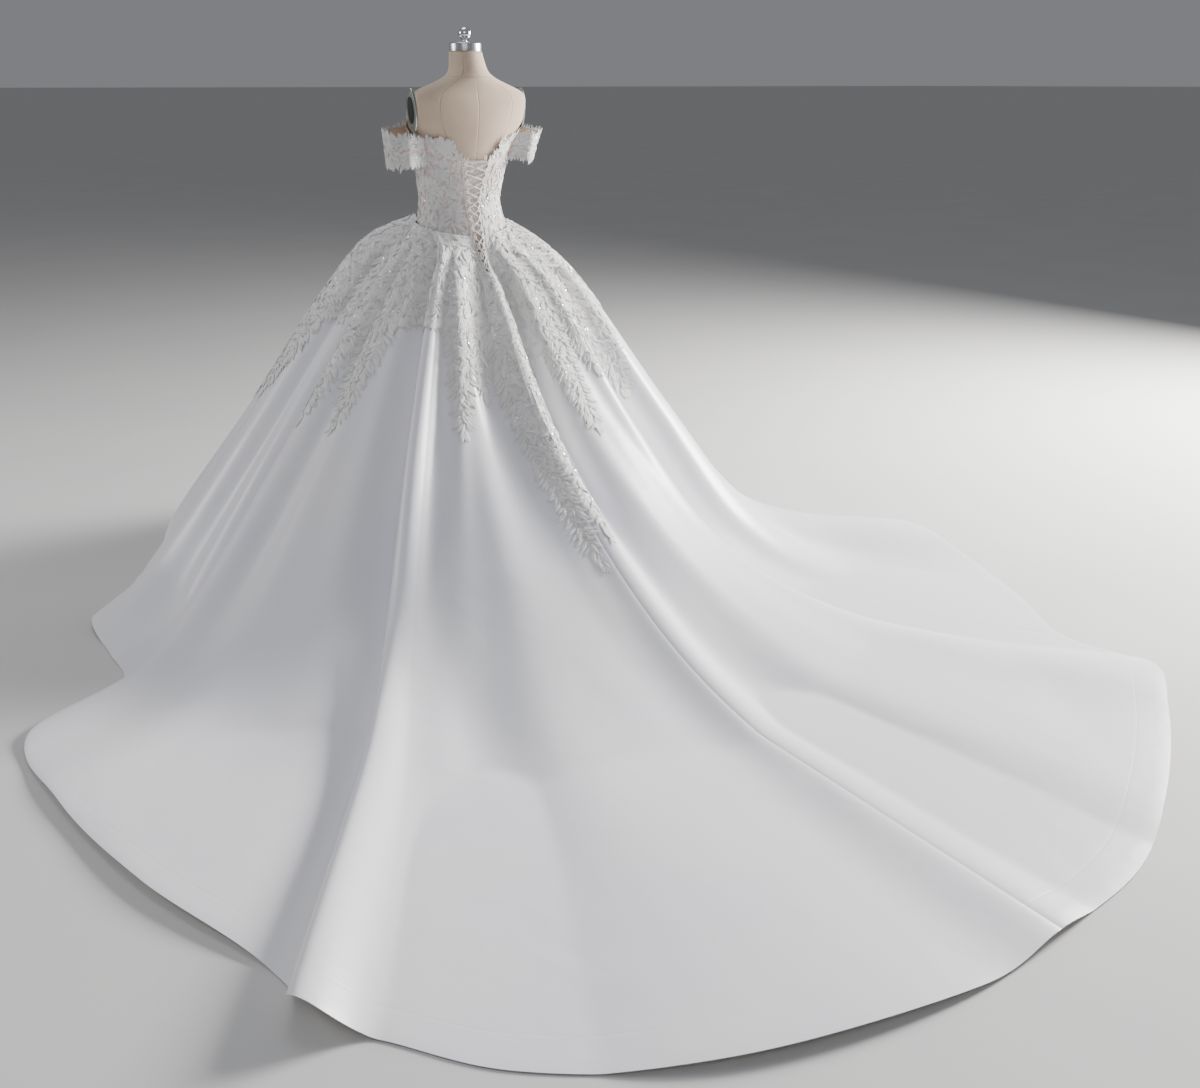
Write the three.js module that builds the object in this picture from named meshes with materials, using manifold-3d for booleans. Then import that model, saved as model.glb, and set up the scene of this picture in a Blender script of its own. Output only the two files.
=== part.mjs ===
// A floor-length ball gown with a long train, off-the-shoulder sleeves and a laced back, worn by a limbless
// dress form on a pole stand. Millimetres, +Z up. +X is the wearer's left and +Y the back. The origin is on the
// floor, on the axis of the form's pole. Angles are in degrees round that axis, from the centre back.
import * as THREE from "three";
import { mergeVertices } from "three/addons/utils/BufferGeometryUtils.js";
import Module from "manifold-3d";

const wasm = await Module();
wasm.setup();

// Driving dimensions
const SEAM_GAP = 0.3; // between two pieces that touch
const SATIN = 2.5; // skirt cloth with its facing
const BODICE_WALL = 2; // boned bodice
const SLEEVE_WALL = 2;
const LACE = 1; // corded lace on the skirt
const UNDERLAY = 1.6; // panel behind the lacing
const FORM_CLEARANCE = 0.5; // between the dress form and the panel behind the lacing
const CORD = 3.6; // lacing cord's diameter
const LOOP_CORD = 2.4; // rouleau loops
const LOOP_PAIRS = 13;
const UNDERLAY_GAP = 0.9; // flat facets of two curved layers need more than a seam does
const WORN = FORM_CLEARANCE + UNDERLAY + UNDERLAY_GAP; // inner face of the bodice, outwards of the figure

const radians = THREE.MathUtils.degToRad;
const toDegrees = THREE.MathUtils.radToDeg;
const mix = THREE.MathUtils.lerp;
const bump = (x, width) => Math.exp(-((x / width) ** 2));

// Dress form sections. The centre is how far a section lies behind the pole.
const SECTIONS = [
  { z: 826, halfWidth: 150, front: 88, back: 92, centre: -2 },
  { z: 850, halfWidth: 163, front: 100, back: 106, centre: -2 },
  { z: 930, halfWidth: 166, front: 106, back: 114, centre: -4 },
  { z: 1020, halfWidth: 146, front: 100, back: 102, centre: -8 },
  { z: 1075, halfWidth: 126, front: 92, back: 86, centre: -11 },
  { z: 1126, halfWidth: 117, front: 86, back: 76, centre: -10 },
  { z: 1180, halfWidth: 124, front: 94, back: 80, centre: -2 },
  { z: 1225, halfWidth: 132, front: 102, back: 86, centre: 8 },
  { z: 1270, halfWidth: 142, front: 108, back: 88, centre: 20 },
  { z: 1310, halfWidth: 158, front: 108, back: 86, centre: 34 },
  { z: 1345, halfWidth: 182, front: 98, back: 80, centre: 46 },
  { z: 1375, halfWidth: 190, front: 90, back: 74, centre: 54 },
  { z: 1402, halfWidth: 190, front: 78, back: 66, centre: 62 },
  { z: 1420, halfWidth: 174, front: 66, back: 58, centre: 66 },
  { z: 1434, halfWidth: 146, front: 56, back: 54, centre: 69 },
  { z: 1448, halfWidth: 110, front: 52, back: 52, centre: 71 },
  { z: 1462, halfWidth: 78, front: 52, back: 50, centre: 72 },
  { z: 1478, halfWidth: 58, front: 52, back: 49, centre: 70 },
  { z: 1505, halfWidth: 50, front: 48, back: 48, centre: 62 },
  { z: 1530, halfWidth: 46, front: 46, back: 47, centre: 55 },
];
const BUST = { z: 1262, angle: 29, depth: 24, halfAngle: 22, halfHeight: 46 };
const ARM_PLANE = { x: 171, z: 1440, slope: 0.06 }; // flat side of the shoulder, closer in lower down

// Bodice edges, the same on both sides: the neckline, the seam with the skirt, and the laced opening, which
// runs on down the skirt's centre back.
const NECKLINE = [
  { angle: 0, z: 1246 },
  { angle: 19, z: 1248 },
  { angle: 28, z: 1268 },
  { angle: 37, z: 1288 },
  { angle: 48, z: 1297 },
  { angle: 70, z: 1302 },
  { angle: 90, z: 1306 },
  { angle: 122, z: 1346 },
  { angle: 150, z: 1322 },
  { angle: 170, z: 1284 },
  { angle: 180, z: 1272 },
];
const WAIST_SEAM = [
  { angle: 0, z: 1026 },
  { angle: 50, z: 1044 },
  { angle: 90, z: 1064 },
  { angle: 122, z: 1084 },
  { angle: 155, z: 1040 },
  { angle: 180, z: 992 },
];
const LACED_OPENING = [
  { z: 908, half: 0.5 * SEAM_GAP },
  { z: 925, half: 4 },
  { z: 985, half: 10 },
  { z: 1040, half: 17 },
  { z: 1108, half: 19 },
  { z: 1170, half: 27 },
  { z: 1250, half: 43 },
];

// Skirt lines from the waist seam to the hem, on the inside of the cloth. A line starts at its waist angle,
// pushed out by tuck, and ends at its hem angle. Between them are its distances from the pole: yoke a third of
// the way down to the hip, then hip, middle and low at the heights below. Settle is the height where a third of
// the way from low to the hem is done, and reach and rise are at the hem. A crest stands proud and a foot is
// tucked in.
const HIP_HEIGHT = 900;
const MIDDLE_HEIGHT = 500;
const LOW_HEIGHT = 150;
const SKIRT_COLUMNS = ["name", "waist", "tuck", "hem", "yoke", "hip", "middle", "low", "settle", "reach", "rise"];
const SKIRT_ROWS = [
  ["centre_back", 0, 0, 0, 118, 185, 480, 975, 6, 2331, 0],
  ["back_dip_left", 12, 0, 6, 116, 168, 440, 940, 2, 2375, 0],
  ["back_panel_left", 26, 4, 17, 130, 205, 480, 950, 3, 2392, 0],
  ["back_side_left", 38, 5, 25.5, 146, 228, 500, 945, 14, 2340, 0],
  ["deep_roll_left", 47, 6, 31, 158, 236, 535, 940, 30, 2252, 4],
  ["deep_crest_left", 52, 9, 34, 166, 246, 560, 930, 64, 2238, 58],
  ["deep_foot_left", 57, 0, 35.5, 152, 205, 470, 800, 6, 2120, 0],
  ["side_panel_left", 70, 3, 46, 174, 250, 540, 880, 8, 1895, 0],
  ["side_swell_left", 84, 5, 58, 186, 272, 580, 930, 28, 1695, 4],
  ["side_crest_left", 94, 9, 69, 190, 295, 615, 960, 50, 1540, 18],
  ["side_foot_left", 99, 0, 74, 170, 250, 535, 830, 12, 1220, 0],
  ["hip_panel_left", 107, 3, 82, 215, 325, 620, 890, 60, 1172, 0],
  ["hip_crest_left", 117, 5, 95, 275, 384, 670, 950, 90, 1150, 22],
  ["hip_foot_left", 122, 0, 102, 262, 358, 625, 880, 60, 1000, 0],
  ["front_side_left", 133, 5, 113, 285, 396, 686, 945, 60, 1036, 6],
  ["front_foot_left", 145, 0, 129, 240, 350, 610, 815, 75, 905, 0],
  ["front_crest_left", 157, 5, 146, 245, 372, 650, 855, 80, 950, 8],
  ["front_dip_left", 168, 0, 163, 232, 345, 608, 812, 80, 900, 0],
  ["centre_front", 180, 4, 180, 238, 356, 630, 838, 80, 925, 4],
  ["front_dip_right", 192, 0, 197, 232, 345, 608, 812, 80, 900, 0],
  ["front_crest_right", 203, 5, 214, 245, 372, 650, 855, 80, 950, 8],
  ["front_foot_right", 215, 0, 231, 240, 350, 610, 815, 75, 905, 0],
  ["front_side_right", 227, 5, 246, 262, 392, 675, 900, 70, 1030, 10],
  ["hip_foot_right", 238, 0, 257, 235, 345, 610, 850, 60, 1000, 0],
  ["hip_crest_right", 243, 3, 264, 240, 362, 648, 900, 80, 1060, 22],
  ["hip_panel_right", 253, 3, 276, 222, 332, 606, 880, 60, 1090, 4],
  ["side_foot_right", 261, 0, 284, 195, 290, 560, 830, 20, 1150, 0],
  ["side_crest_right", 266, 5, 292, 226, 334, 618, 905, 84, 1450, 52],
  ["side_swell_right", 276, 5, 303, 226, 332, 615, 900, 30, 1595, 6],
  ["side_panel_right", 290, 3, 313, 224, 322, 594, 860, 8, 1690, 0],
  ["deep_foot_right", 303, 0, 322, 165, 240, 470, 730, 6, 1800, 0],
  ["deep_crest_right", 308, 9, 325.5, 166, 264, 515, 800, 12, 2012, 20],
  ["back_side_right", 319, 5, 334, 145, 240, 500, 850, 10, 2095, 8],
  ["back_panel_right", 334, 4, 345, 135, 215, 480, 900, 6, 2205, 0],
  ["back_dip_right", 348, 0, 352.5, 116, 165, 430, 920, 3, 2290, 0],
];
const SKIRT_LINES = SKIRT_ROWS.map((row) =>
  Object.fromEntries(row.map((value, k) => [SKIRT_COLUMNS[k], value])),
);
const TURN_SHARES = [0, 0.12, 0.25, 0.5, 0.7, 0.88, 1]; // of the way from the waist angle to the hem angle
const LEVELS_PER_SPAN = [2, 2, 3, 3, 2, 2]; // between those places
const COLUMNS_PER_LINE = 2;
const SKIRT_EASE = 2.7; // the skirt's waist edge laps over the bodice's edge with a seam's gap

// A value from a table at x, on a smooth curve through the rows, whose places are in the column at.
function tableValue(rows, at, column, x) {
  const last = rows.length - 1;
  const above = rows.findIndex((row) => row[at] >= x);
  const i = above < 0 ? last : Math.max(1, above);
  const [r0, r1, r2, r3] = [i - 2, i - 1, i, i + 1].map((k) => rows[THREE.MathUtils.clamp(k, 0, last)]);
  const span = r2[at] - r1[at];
  const t = THREE.MathUtils.clamp((x - r1[at]) / span, 0, 1);
  const slope = (a, b) => ((b[column] - a[column]) / (b[at] - a[at])) * span;
  const [m1, m2] = [slope(r0, r2), slope(r1, r3)];
  const rise = r2[column] - r1[column];
  return r1[column] + t * (m1 + t * (3 * rise - 2 * m1 - m2 + t * (m1 + m2 - 2 * rise)));
}

const fromBack = (degrees) => Math.abs(((((degrees + 180) % 360) + 360) % 360) - 180);
const neckline = (degrees) => tableValue(NECKLINE, "angle", "z", fromBack(degrees));
const waistSeam = (degrees) => tableValue(WAIST_SEAM, "angle", "z", fromBack(degrees));
const openingHalf = (z) => tableValue(LACED_OPENING, "z", "half", z);

// A point of the figure at an angle and a height, moved out by a distance.
function figurePoint(degrees, z, out = 0) {
  const [s, c] = [Math.sin(radians(degrees)), Math.cos(radians(degrees))];
  const [a, centre] = ["halfWidth", "centre"].map((column) => tableValue(SECTIONS, "z", column, z));
  const b = tableValue(SECTIONS, "z", c > 0 ? "back" : "front", z);
  const normal = new THREE.Vector3(s / a, c / b, 0).normalize();
  const cup = BUST.depth * bump(fromBack(degrees) - 180 + BUST.angle, BUST.halfAngle) *
    bump(z - BUST.z, BUST.halfHeight);
  return new THREE.Vector3(a * s, centre + b * c - cup, z).addScaledVector(normal, out);
}

// A closed body from points and triangles, turned to face outwards.
function closedBody(points, triangles) {
  const volume = triangles.reduce(
    (sum, [a, b, c]) => sum + points[a].dot(new THREE.Vector3().crossVectors(points[b], points[c])),
    0,
  );
  const faces = volume > 0 ? triangles : triangles.map(([a, b, c]) => [a, c, b]);
  const geometry = new THREE.BufferGeometry().setFromPoints(points);
  geometry.setIndex(faces.flat());
  geometry.computeVertexNormals();
  return geometry;
}

// A wall between two grids of points, grid[column][row], with its four edges closed.
function wall(outer, inner) {
  const [columns, rows] = [outer.length, outer[0].length];
  const at = (side, i, j) => (side * columns + i) * rows + j;
  const triangles = [];
  const quad = (a, b, c, d) => triangles.push([a, b, c], [a, c, d]);
  for (let i = 0; i + 1 < columns; i++) {
    for (let j = 0; j + 1 < rows; j++) {
      quad(at(0, i, j), at(0, i, j + 1), at(0, i + 1, j + 1), at(0, i + 1, j));
      quad(at(1, i + 1, j + 1), at(1, i, j + 1), at(1, i, j), at(1, i + 1, j));
    }
    quad(at(0, i, 0), at(0, i + 1, 0), at(1, i + 1, 0), at(1, i, 0));
    quad(at(0, i, rows - 1), at(1, i, rows - 1), at(1, i + 1, rows - 1), at(0, i + 1, rows - 1));
  }
  for (let j = 0; j + 1 < rows; j++) {
    quad(at(0, 0, j), at(1, 0, j), at(1, 0, j + 1), at(0, 0, j + 1));
    quad(at(0, columns - 1, j), at(0, columns - 1, j + 1), at(1, columns - 1, j + 1), at(1, columns - 1, j));
  }
  return closedBody([...outer.flat(), ...inner.flat()], triangles);
}

// A solid through closed rings of points, bottom to top, with a centre point closing each end.
function stackedRings(rings) {
  const count = rings[0].length;
  const centre = (ring) => ring.reduce((sum, p) => sum.add(p), new THREE.Vector3()).divideScalar(count);
  const points = [...rings.flat(), centre(rings[0]), centre(rings.at(-1))];
  const at = (i, j) => j * count + (i % count);
  const [bottom, top] = [rings.length * count, rings.length * count + 1];
  const triangles = [];
  for (let i = 0; i < count; i++) {
    for (let j = 0; j + 1 < rings.length; j++) {
      triangles.push([at(i, j), at(i, j + 1), at(i + 1, j + 1)], [at(i, j), at(i + 1, j + 1), at(i + 1, j)]);
    }
    const last = rings.length - 1;
    triangles.push([bottom, at(i, 0), at(i + 1, 0)], [top, at(i + 1, last), at(i, last)]);
  }
  return closedBody(points, triangles);
}

// A round tube with a section at each point of its route.
function tube(route, diameter, sides) {
  const path = new THREE.CatmullRomCurve3(route);
  path.getUtoTmapping = (share) => share;
  const section = new THREE.Shape(
    Array.from({ length: sides }, (_, k) => {
      const turn = (k / sides) * 2 * Math.PI;
      return new THREE.Vector2(Math.cos(turn), Math.sin(turn)).multiplyScalar(0.5 * diameter);
    }),
  );
  return new THREE.ExtrudeGeometry(section, { steps: route.length - 1, extrudePath: path });
}

const group = new THREE.Group();
function add(name, geometry, look) {
  const mesh = new THREE.Mesh(geometry, new THREE.MeshStandardMaterial(look));
  mesh.name = name;
  group.add(mesh);
  return mesh;
}
const SATIN_LOOK = { color: 0xe9e9ee, roughness: 0.35, metalness: 0 };
const LACE_LOOK = { color: 0xf2f0ec, roughness: 0.7, metalness: 0 };
const NUDE_LOOK = { color: 0xe8d8d0, roughness: 0.8, metalness: 0 };
const CORD_LOOK = { color: 0xf0eeea, roughness: 0.5, metalness: 0 };
const LINEN_LOOK = { color: 0xc6b5a3, roughness: 0.9, metalness: 0 };
const STEEL_LOOK = { color: 0xb8b8ba, roughness: 0.25, metalness: 1 };
const DARK_LOOK = { color: 0x23262b, roughness: 0.5, metalness: 0 };

// Bodice. Each piece runs from one angle to another, given at each height, from the waist seam to the neckline.
const BODICE_ROWS = 8;
const SIDE_SEAM = 90;
const LEAF_TOOTH = 5; // leaf tips stand up along the neckline
const MID_HEIGHT = 1150; // where a column's place along the two edges is taken
const openingAngle = (z) => toDegrees(Math.asin(openingHalf(z) / tableValue(SECTIONS, "z", "halfWidth", z)));
const seamAngle = (z) => toDegrees(0.5 * SEAM_GAP / tableValue(SECTIONS, "z", "back", z));

function bodicePiece(name, from, to, columns) {
  const grid = (out) => Array.from({ length: columns + 1 }, (_, i) => {
    const middleAngle = mix(from(MID_HEIGHT), to(MID_HEIGHT), i / columns);
    const low = waistSeam(middleAngle) + SEAM_GAP;
    const high = neckline(middleAngle) + (i % 2 ? LEAF_TOOTH : 0);
    return Array.from({ length: BODICE_ROWS + 1 }, (_, j) => {
      const z = mix(low, high, j / BODICE_ROWS);
      return figurePoint(mix(from(z), to(z), i / columns), z, out);
    });
  });
  add(name, wall(grid(WORN + BODICE_WALL), grid(WORN)), LACE_LOOK);
}
bodicePiece("bodice_back_left", openingAngle, (z) => SIDE_SEAM - seamAngle(z), 14);
bodicePiece("bodice_back_right", (z) => seamAngle(z) - SIDE_SEAM, (z) => -openingAngle(z), 14);
bodicePiece("bodice_front", (z) => SIDE_SEAM + seamAngle(z), (z) => 360 - SIDE_SEAM - seamAngle(z), 26);

const PANEL = { halfAngle: 30, top: 1240, bottom: 1036, columns: 10, rows: 10 }; // behind the lacing
const panelGrid = (out) => Array.from({ length: PANEL.columns + 1 }, (_, i) => {
  const angle = mix(-PANEL.halfAngle, PANEL.halfAngle, i / PANEL.columns);
  return Array.from({ length: PANEL.rows + 1 }, (_, j) =>
    figurePoint(angle, mix(PANEL.bottom, PANEL.top, j / PANEL.rows), out));
});
add("lacing_panel", wall(panelGrid(FORM_CLEARANCE + UNDERLAY), panelGrid(FORM_CLEARANCE)), NUDE_LOOK);

// Skirt. A level curve joins the lines at one share of their length, and a panel is a stretch of it.
const lineCurves = SKIRT_LINES.map((line) => {
  const seam = waistSeam(line.waist);
  const settleReach = mix(line.low, line.reach, 1 / 3);
  const distances = [line.yoke, line.hip, line.middle, line.low, settleReach, line.reach];
  const yokeHeight = mix(seam, HIP_HEIGHT, 1 / 3);
  const heights = [yokeHeight, HIP_HEIGHT, MIDDLE_HEIGHT, LOW_HEIGHT, line.settle, line.rise];
  const below = distances.map((distance, k) => {
    const turn = radians(mix(line.waist, line.hem, TURN_SHARES[k + 1]));
    return new THREE.Vector3(distance * Math.sin(turn), distance * Math.cos(turn), heights[k]);
  });
  return new THREE.CatmullRomCurve3([figurePoint(line.waist, seam, WORN + SKIRT_EASE + line.tuck), ...below]);
});
const levelShares = LEVELS_PER_SPAN.flatMap((count, span) =>
  Array.from({ length: count }, (_, k) => (span + k / count) / LEVELS_PER_SPAN.length));
levelShares.push(1);
const levels = levelShares.map((share) =>
  new THREE.CatmullRomCurve3(lineCurves.map((curve) => curve.getPoint(share)), true));
const lineCount = SKIRT_LINES.length;
function levelPoint(j, place) {
  const point = levels[j].getPoint((((place / lineCount) % 1) + 1) % 1);
  return point.setZ(Math.max(0, point.z));
}

// The place on a level that lies a distance along it from another place.
function along(j, place, distance) {
  const step = 0.02 * Math.sign(distance);
  let [from, travelled] = [levelPoint(j, place), 0];
  for (let k = 1; ; k++) {
    const next = levelPoint(j, place + k * step);
    const length = from.distanceTo(next);
    if (travelled + length >= Math.abs(distance)) {
      return place + step * (k - 1 + (Math.abs(distance) - travelled) / length);
    }
    travelled += length;
    from = next;
  }
}

const NORMAL_STEP = 0.35; // lines to each side
function skirtNormal(j, place) {
  const across = levelPoint(j, place + NORMAL_STEP).sub(levelPoint(j, place - NORMAL_STEP));
  const [above, below] = [Math.max(j - 1, 0), Math.min(j + 1, levels.length - 1)];
  const down = levelPoint(below, place).sub(levelPoint(above, place));
  return new THREE.Vector3().crossVectors(across, down).normalize();
}

function skirtPanel(name, from, to) {
  const columns = (to - from) * COLUMNS_PER_LINE;
  const halfGap = (j, line) => (line % lineCount ? 0.5 * SEAM_GAP : openingHalf(levelPoint(j, 0).z));
  const ends = levels.map((_, j) => [along(j, from, halfGap(j, from)), along(j, to, -halfGap(j, to))]);
  const places = Array.from({ length: columns + 1 }, (_, i) => ends.map(([a, b]) => mix(a, b, i / columns)));
  const inner = places.map((column) => column.map((place, j) => levelPoint(j, place)));
  const normals = places.map((column) => column.map((place, j) => skirtNormal(j, place)));
  const outer = inner.map((column, i) => column.map((point, j) => {
    const moved = point.clone().addScaledVector(normals[i][j], SATIN);
    return moved.setZ(Math.max(0, moved.z));
  }));
  add(name, wall(outer, inner), SATIN_LOOK);
  return { name, from, to, columns, outer, normals };
}
const line = (name) => SKIRT_LINES.findIndex((row) => row.name === name);
const panels = [
  skirtPanel("skirt_back_left", 0, line("deep_foot_left")),
  skirtPanel("skirt_side_back_left", line("deep_foot_left"), line("side_foot_left")),
  skirtPanel("skirt_side_front_left", line("side_foot_left"), line("front_foot_left")),
  skirtPanel("skirt_front", line("front_foot_left"), line("front_foot_right")),
  skirtPanel("skirt_side_front_right", line("front_foot_right"), line("side_foot_right")),
  skirtPanel("skirt_side_back_right", line("side_foot_right"), line("deep_foot_right")),
  skirtPanel("skirt_back_right", line("deep_foot_right"), lineCount),
];
// Lace on the skirt: a yoke below the waist with long leafy fingers. A finger hangs at a place among the skirt
// lines and reaches down to a level. Its lean moves its tip to one side.
const YOKE_LEVEL = 4.8;
const YOKE_LEAF = { width: 0.25, length: 0.24 };
const LACE_START = 0.07; // levels below the waist seam
const LACE_LIFT = 1; // off the satin
const LEAF_JOIN = 0.01; // between a finger and the next leaf of the yoke
const FINGER_STEPS = 8;
const LEAF_NOTCH = 0.62; // share of a finger's width that is left between two leaves
const FINGERS = [
  { place: 0.56, tip: 9.2, halfWidth: 0.5, lean: -0.35 },
  { place: 1.6, tip: 6.2, halfWidth: 0.24, lean: 0 },
  { place: 2.6, tip: 6.8, halfWidth: 0.55, lean: 0 },
  { place: 7.7, tip: 6.7, halfWidth: 0.45, lean: 0.2 },
  { place: 8.8, tip: 6.6, halfWidth: 0.4, lean: 0.2 },
  { place: 12, tip: 6.4, halfWidth: 0.6, lean: 0 },
  { place: 14, tip: 6.6, halfWidth: 0.5, lean: 0 },
  { place: 16.3, tip: 6.3, halfWidth: 0.45, lean: 0 },
  { place: 18, tip: 7.2, halfWidth: 0.7, lean: 0 },
  { place: 19.5, tip: 6.4, halfWidth: 0.5, lean: 0 },
  { place: 22, tip: 6.6, halfWidth: 0.5, lean: 0 },
  { place: 24, tip: 6.4, halfWidth: 0.6, lean: 0 },
  { place: 27.6, tip: 6.6, halfWidth: 0.5, lean: 0 },
  { place: 29.3, tip: 6.6, halfWidth: 0.42, lean: 0.2 },
  { place: 31.6, tip: 6, halfWidth: 0.34, lean: 0.1 },
  { place: 32.8, tip: 7, halfWidth: 0.5, lean: 0 },
  { place: 34.4, tip: 8.8, halfWidth: 0.54, lean: 0.35 },
];
const GAP = { share: 0.3, halfWidth: 0.07, halfLength: 0.13 }; // satin shows between the leaves of each finger
const OPENING_LEVELS = 4; // the laced opening ends at this level
const LACE_EDGE = { atOpening: 0.75, atSeam: 0.04 }; // columns left bare

function fingerEdge({ place, tip, halfWidth, lean }) {
  const at = (k, side) => {
    const share = k / FINGER_STEPS;
    const width = halfWidth * (1 - share ** 1.5) * (k % 2 ? 1 : LEAF_NOTCH);
    return [place + lean * share + side * width, mix(YOKE_LEVEL, tip, share)];
  };
  const steps = Array.from({ length: FINGER_STEPS }, (_, k) => k);
  return [...steps.map((k) => at(k, -1)), at(FINGER_STEPS, 0), ...steps.reverse().map((k) => at(k, 1))];
}

// The lower edge of the lace between two places, as [place, level] points.
function laceEdge(from, to) {
  const edge = [];
  let place = from;
  const leavesTo = (end) => {
    const count = 2 * Math.max(1, Math.round((end - place) / (2 * YOKE_LEAF.width)));
    for (let k = 0; k < count; k++) {
      edge.push([mix(place, end, k / count), YOKE_LEVEL + (k % 2 ? YOKE_LEAF.length : 0)]);
    }
    place = end;
  };
  for (const finger of FINGERS.filter((f) => f.place > from && f.place < to)) {
    const outline = fingerEdge(finger);
    leavesTo(outline[0][0]);
    edge.push(...outline);
    place = outline.at(-1)[0] + LEAF_JOIN;
  }
  leavesTo(to);
  return [...edge, [to, YOKE_LEVEL]];
}

function solid(geometry) {
  const bare = geometry.clone();
  bare.deleteAttribute("normal");
  bare.deleteAttribute("uv");
  const merged = mergeVertices(bare, 1e-4);
  const vertProperties = new Float32Array(merged.attributes.position.array);
  const triVerts = new Uint32Array(merged.index.array);
  return new wasm.Manifold(new wasm.Mesh({ numProp: 3, vertProperties, triVerts }));
}

// The lace is cut out flat, over the panel's own columns and levels, and then laid on the panel.
// The plate's slight dome keeps all its folds when it is cut.
const LACE_PLATE = { deepest: 10, low: 0, high: 2, dome: 0.004, under: -1, cut: 6 };

function skirtLace(panel) {
  const { from, to, columns, outer, normals } = panel;
  const dome = (i, j) => LACE_PLATE.dome * (i * i + i * j + j * j);
  const plate = (height) => Array.from({ length: columns + 1 }, (_, i) =>
    Array.from({ length: LACE_PLATE.deepest + 1 }, (_, j) => new THREE.Vector3(i, j, height + dome(i, j))));
  const inColumns = (place) => (place - from) * COLUMNS_PER_LINE;
  const bare = (place, level) =>
    (place % lineCount || level > OPENING_LEVELS ? LACE_EDGE.atSeam : LACE_EDGE.atOpening);
  const start = (level) => bare(from, level);
  const end = (level) => columns - bare(to, level);
  const lower = laceEdge(from, to).map(([place, level]) =>
    [THREE.MathUtils.clamp(inColumns(place), start(level), end(level)), level]);
  const beside = OPENING_LEVELS + 0.1;
  const upper = [
    [end(beside), beside],
    [end(0), OPENING_LEVELS],
    [end(0), LACE_START],
    [start(0), LACE_START],
    [start(0), OPENING_LEVELS],
    [start(beside), beside],
  ];
  const through = (outline) => {
    const shape = new THREE.Shape(outline.map(([x, y]) => new THREE.Vector2(x, y)));
    const cutter = new THREE.ExtrudeGeometry(shape, { depth: LACE_PLATE.cut, bevelEnabled: false });
    return solid(cutter.translate(0, 0, LACE_PLATE.under));
  };
  const whole = solid(wall(plate(LACE_PLATE.high), plate(LACE_PLATE.low)));
  const cloth = whole.intersect(through([...upper, ...lower]));
  const gaps = FINGERS.filter((f) => f.place > from && f.place < to).map((finger) => {
    const x = inColumns(finger.place + finger.lean * GAP.share);
    const y = mix(YOKE_LEVEL, finger.tip, GAP.share);
    const [w, l] = [GAP.halfWidth * COLUMNS_PER_LINE, GAP.halfLength];
    return through([[x, y - l], [x + w, y], [x, y + l], [x - w, y]]);
  });
  const cut = gaps.reduce((left, gap) => left.subtract(gap), cloth).getMesh();
  const lay = (x, y, height) => {
    const [i, j] = [Math.min(columns - 1, Math.floor(x)), Math.floor(y)];
    const [a, b] = [x - i, y - j];
    const corner = (k, m) => outer[k][m].clone().addScaledVector(normals[k][m], height);
    const [near, far] = [corner(i, j), corner(i + 1, j + 1)];
    const side = b > a ? corner(i, j + 1) : corner(i + 1, j);
    const [larger, smaller] = [Math.max(a, b), Math.min(a, b)];
    const point = near.multiplyScalar(1 - larger);
    return point.addScaledVector(side, larger - smaller).addScaledVector(far, smaller);
  };
  const points = Array.from({ length: cut.vertProperties.length / cut.numProp }, (_, k) => {
    const [x, y, z] = cut.vertProperties.slice(k * cut.numProp, k * cut.numProp + 3);
    return lay(x, y, LACE_LIFT + (z - dome(x, y) > 0.5 * LACE_PLATE.high ? LACE : 0));
  });
  const triangles = Array.from({ length: cut.triVerts.length / 3 }, (_, k) =>
    [...cut.triVerts.slice(3 * k, 3 * k + 3)]);
  add(panel.name.replace("skirt", "skirt_lace"), closedBody(points, triangles), LACE_LOOK);
}
panels.forEach(skirtLace);

// Loops down both edges and the cord that is laced through them. A place on the back is its height, its distance
// from the centre and how far its middle lies off the cloth.
const LOOP_TOP = 1232;
const LOOP_PITCH = 25.8;
const LOOP = { reach: 6, length: 8, leastTip: 4, mouth: 7, tipOut: 8.3 };
const TURN = { inTip: 3.4, half: 3.2 }; // where the cord turns, measured from a loop's tip
const LOOP_SEAT = 1.5;
const CORD_LOW = SEAM_GAP + 0.5 * CORD + 0.1;
const CORD_HIGH = CORD_LOW + CORD + 0.6;
const loopHeight = (k) => LOOP_TOP - k * LOOP_PITCH;
const loopTip = (z) => Math.max(openingHalf(z) - LOOP.reach, LOOP.leastTip);

function backPlace(z, x, out) {
  if (z >= waistSeam(0)) {
    const degrees = THREE.MathUtils.radToDeg(Math.asin(x / tableValue(SECTIONS, "z", "halfWidth", z)));
    return figurePoint(degrees, z, WORN + SATIN + out);
  }
  const below = levels.findIndex((_, j) => levelPoint(j, 0).z < z);
  const [upper, lower] = [levelPoint(below - 1, 0), levelPoint(below, 0)];
  const slope = lower.clone().sub(upper).normalize();
  const normal = new THREE.Vector3(0, -slope.z, slope.y);
  const point = upper.clone().lerp(lower, (upper.z - z) / (upper.z - lower.z));
  return point.addScaledVector(normal, SATIN + out).setX(x);
}

function loops(name, side) {
  const root = (z) => backPlace(z, side * (loopTip(z) + LOOP.length), LOOP_SEAT);
  const tip = (z, at) => backPlace(at, side * loopTip(z), LOOP.tipOut);
  const route = Array.from({ length: LOOP_PAIRS }, (_, k) => loopHeight(k)).flatMap((z) =>
    [root(z + 0.5 * LOOP_PITCH), tip(z, z + LOOP.mouth), tip(z, z - LOOP.mouth)]);
  route.push(root(loopHeight(LOOP_PAIRS - 0.5)));
  add(name, tube(route, LOOP_CORD, 5), CORD_LOOK);
}
loops("loops_left", 1);
loops("loops_right", -1);

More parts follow.
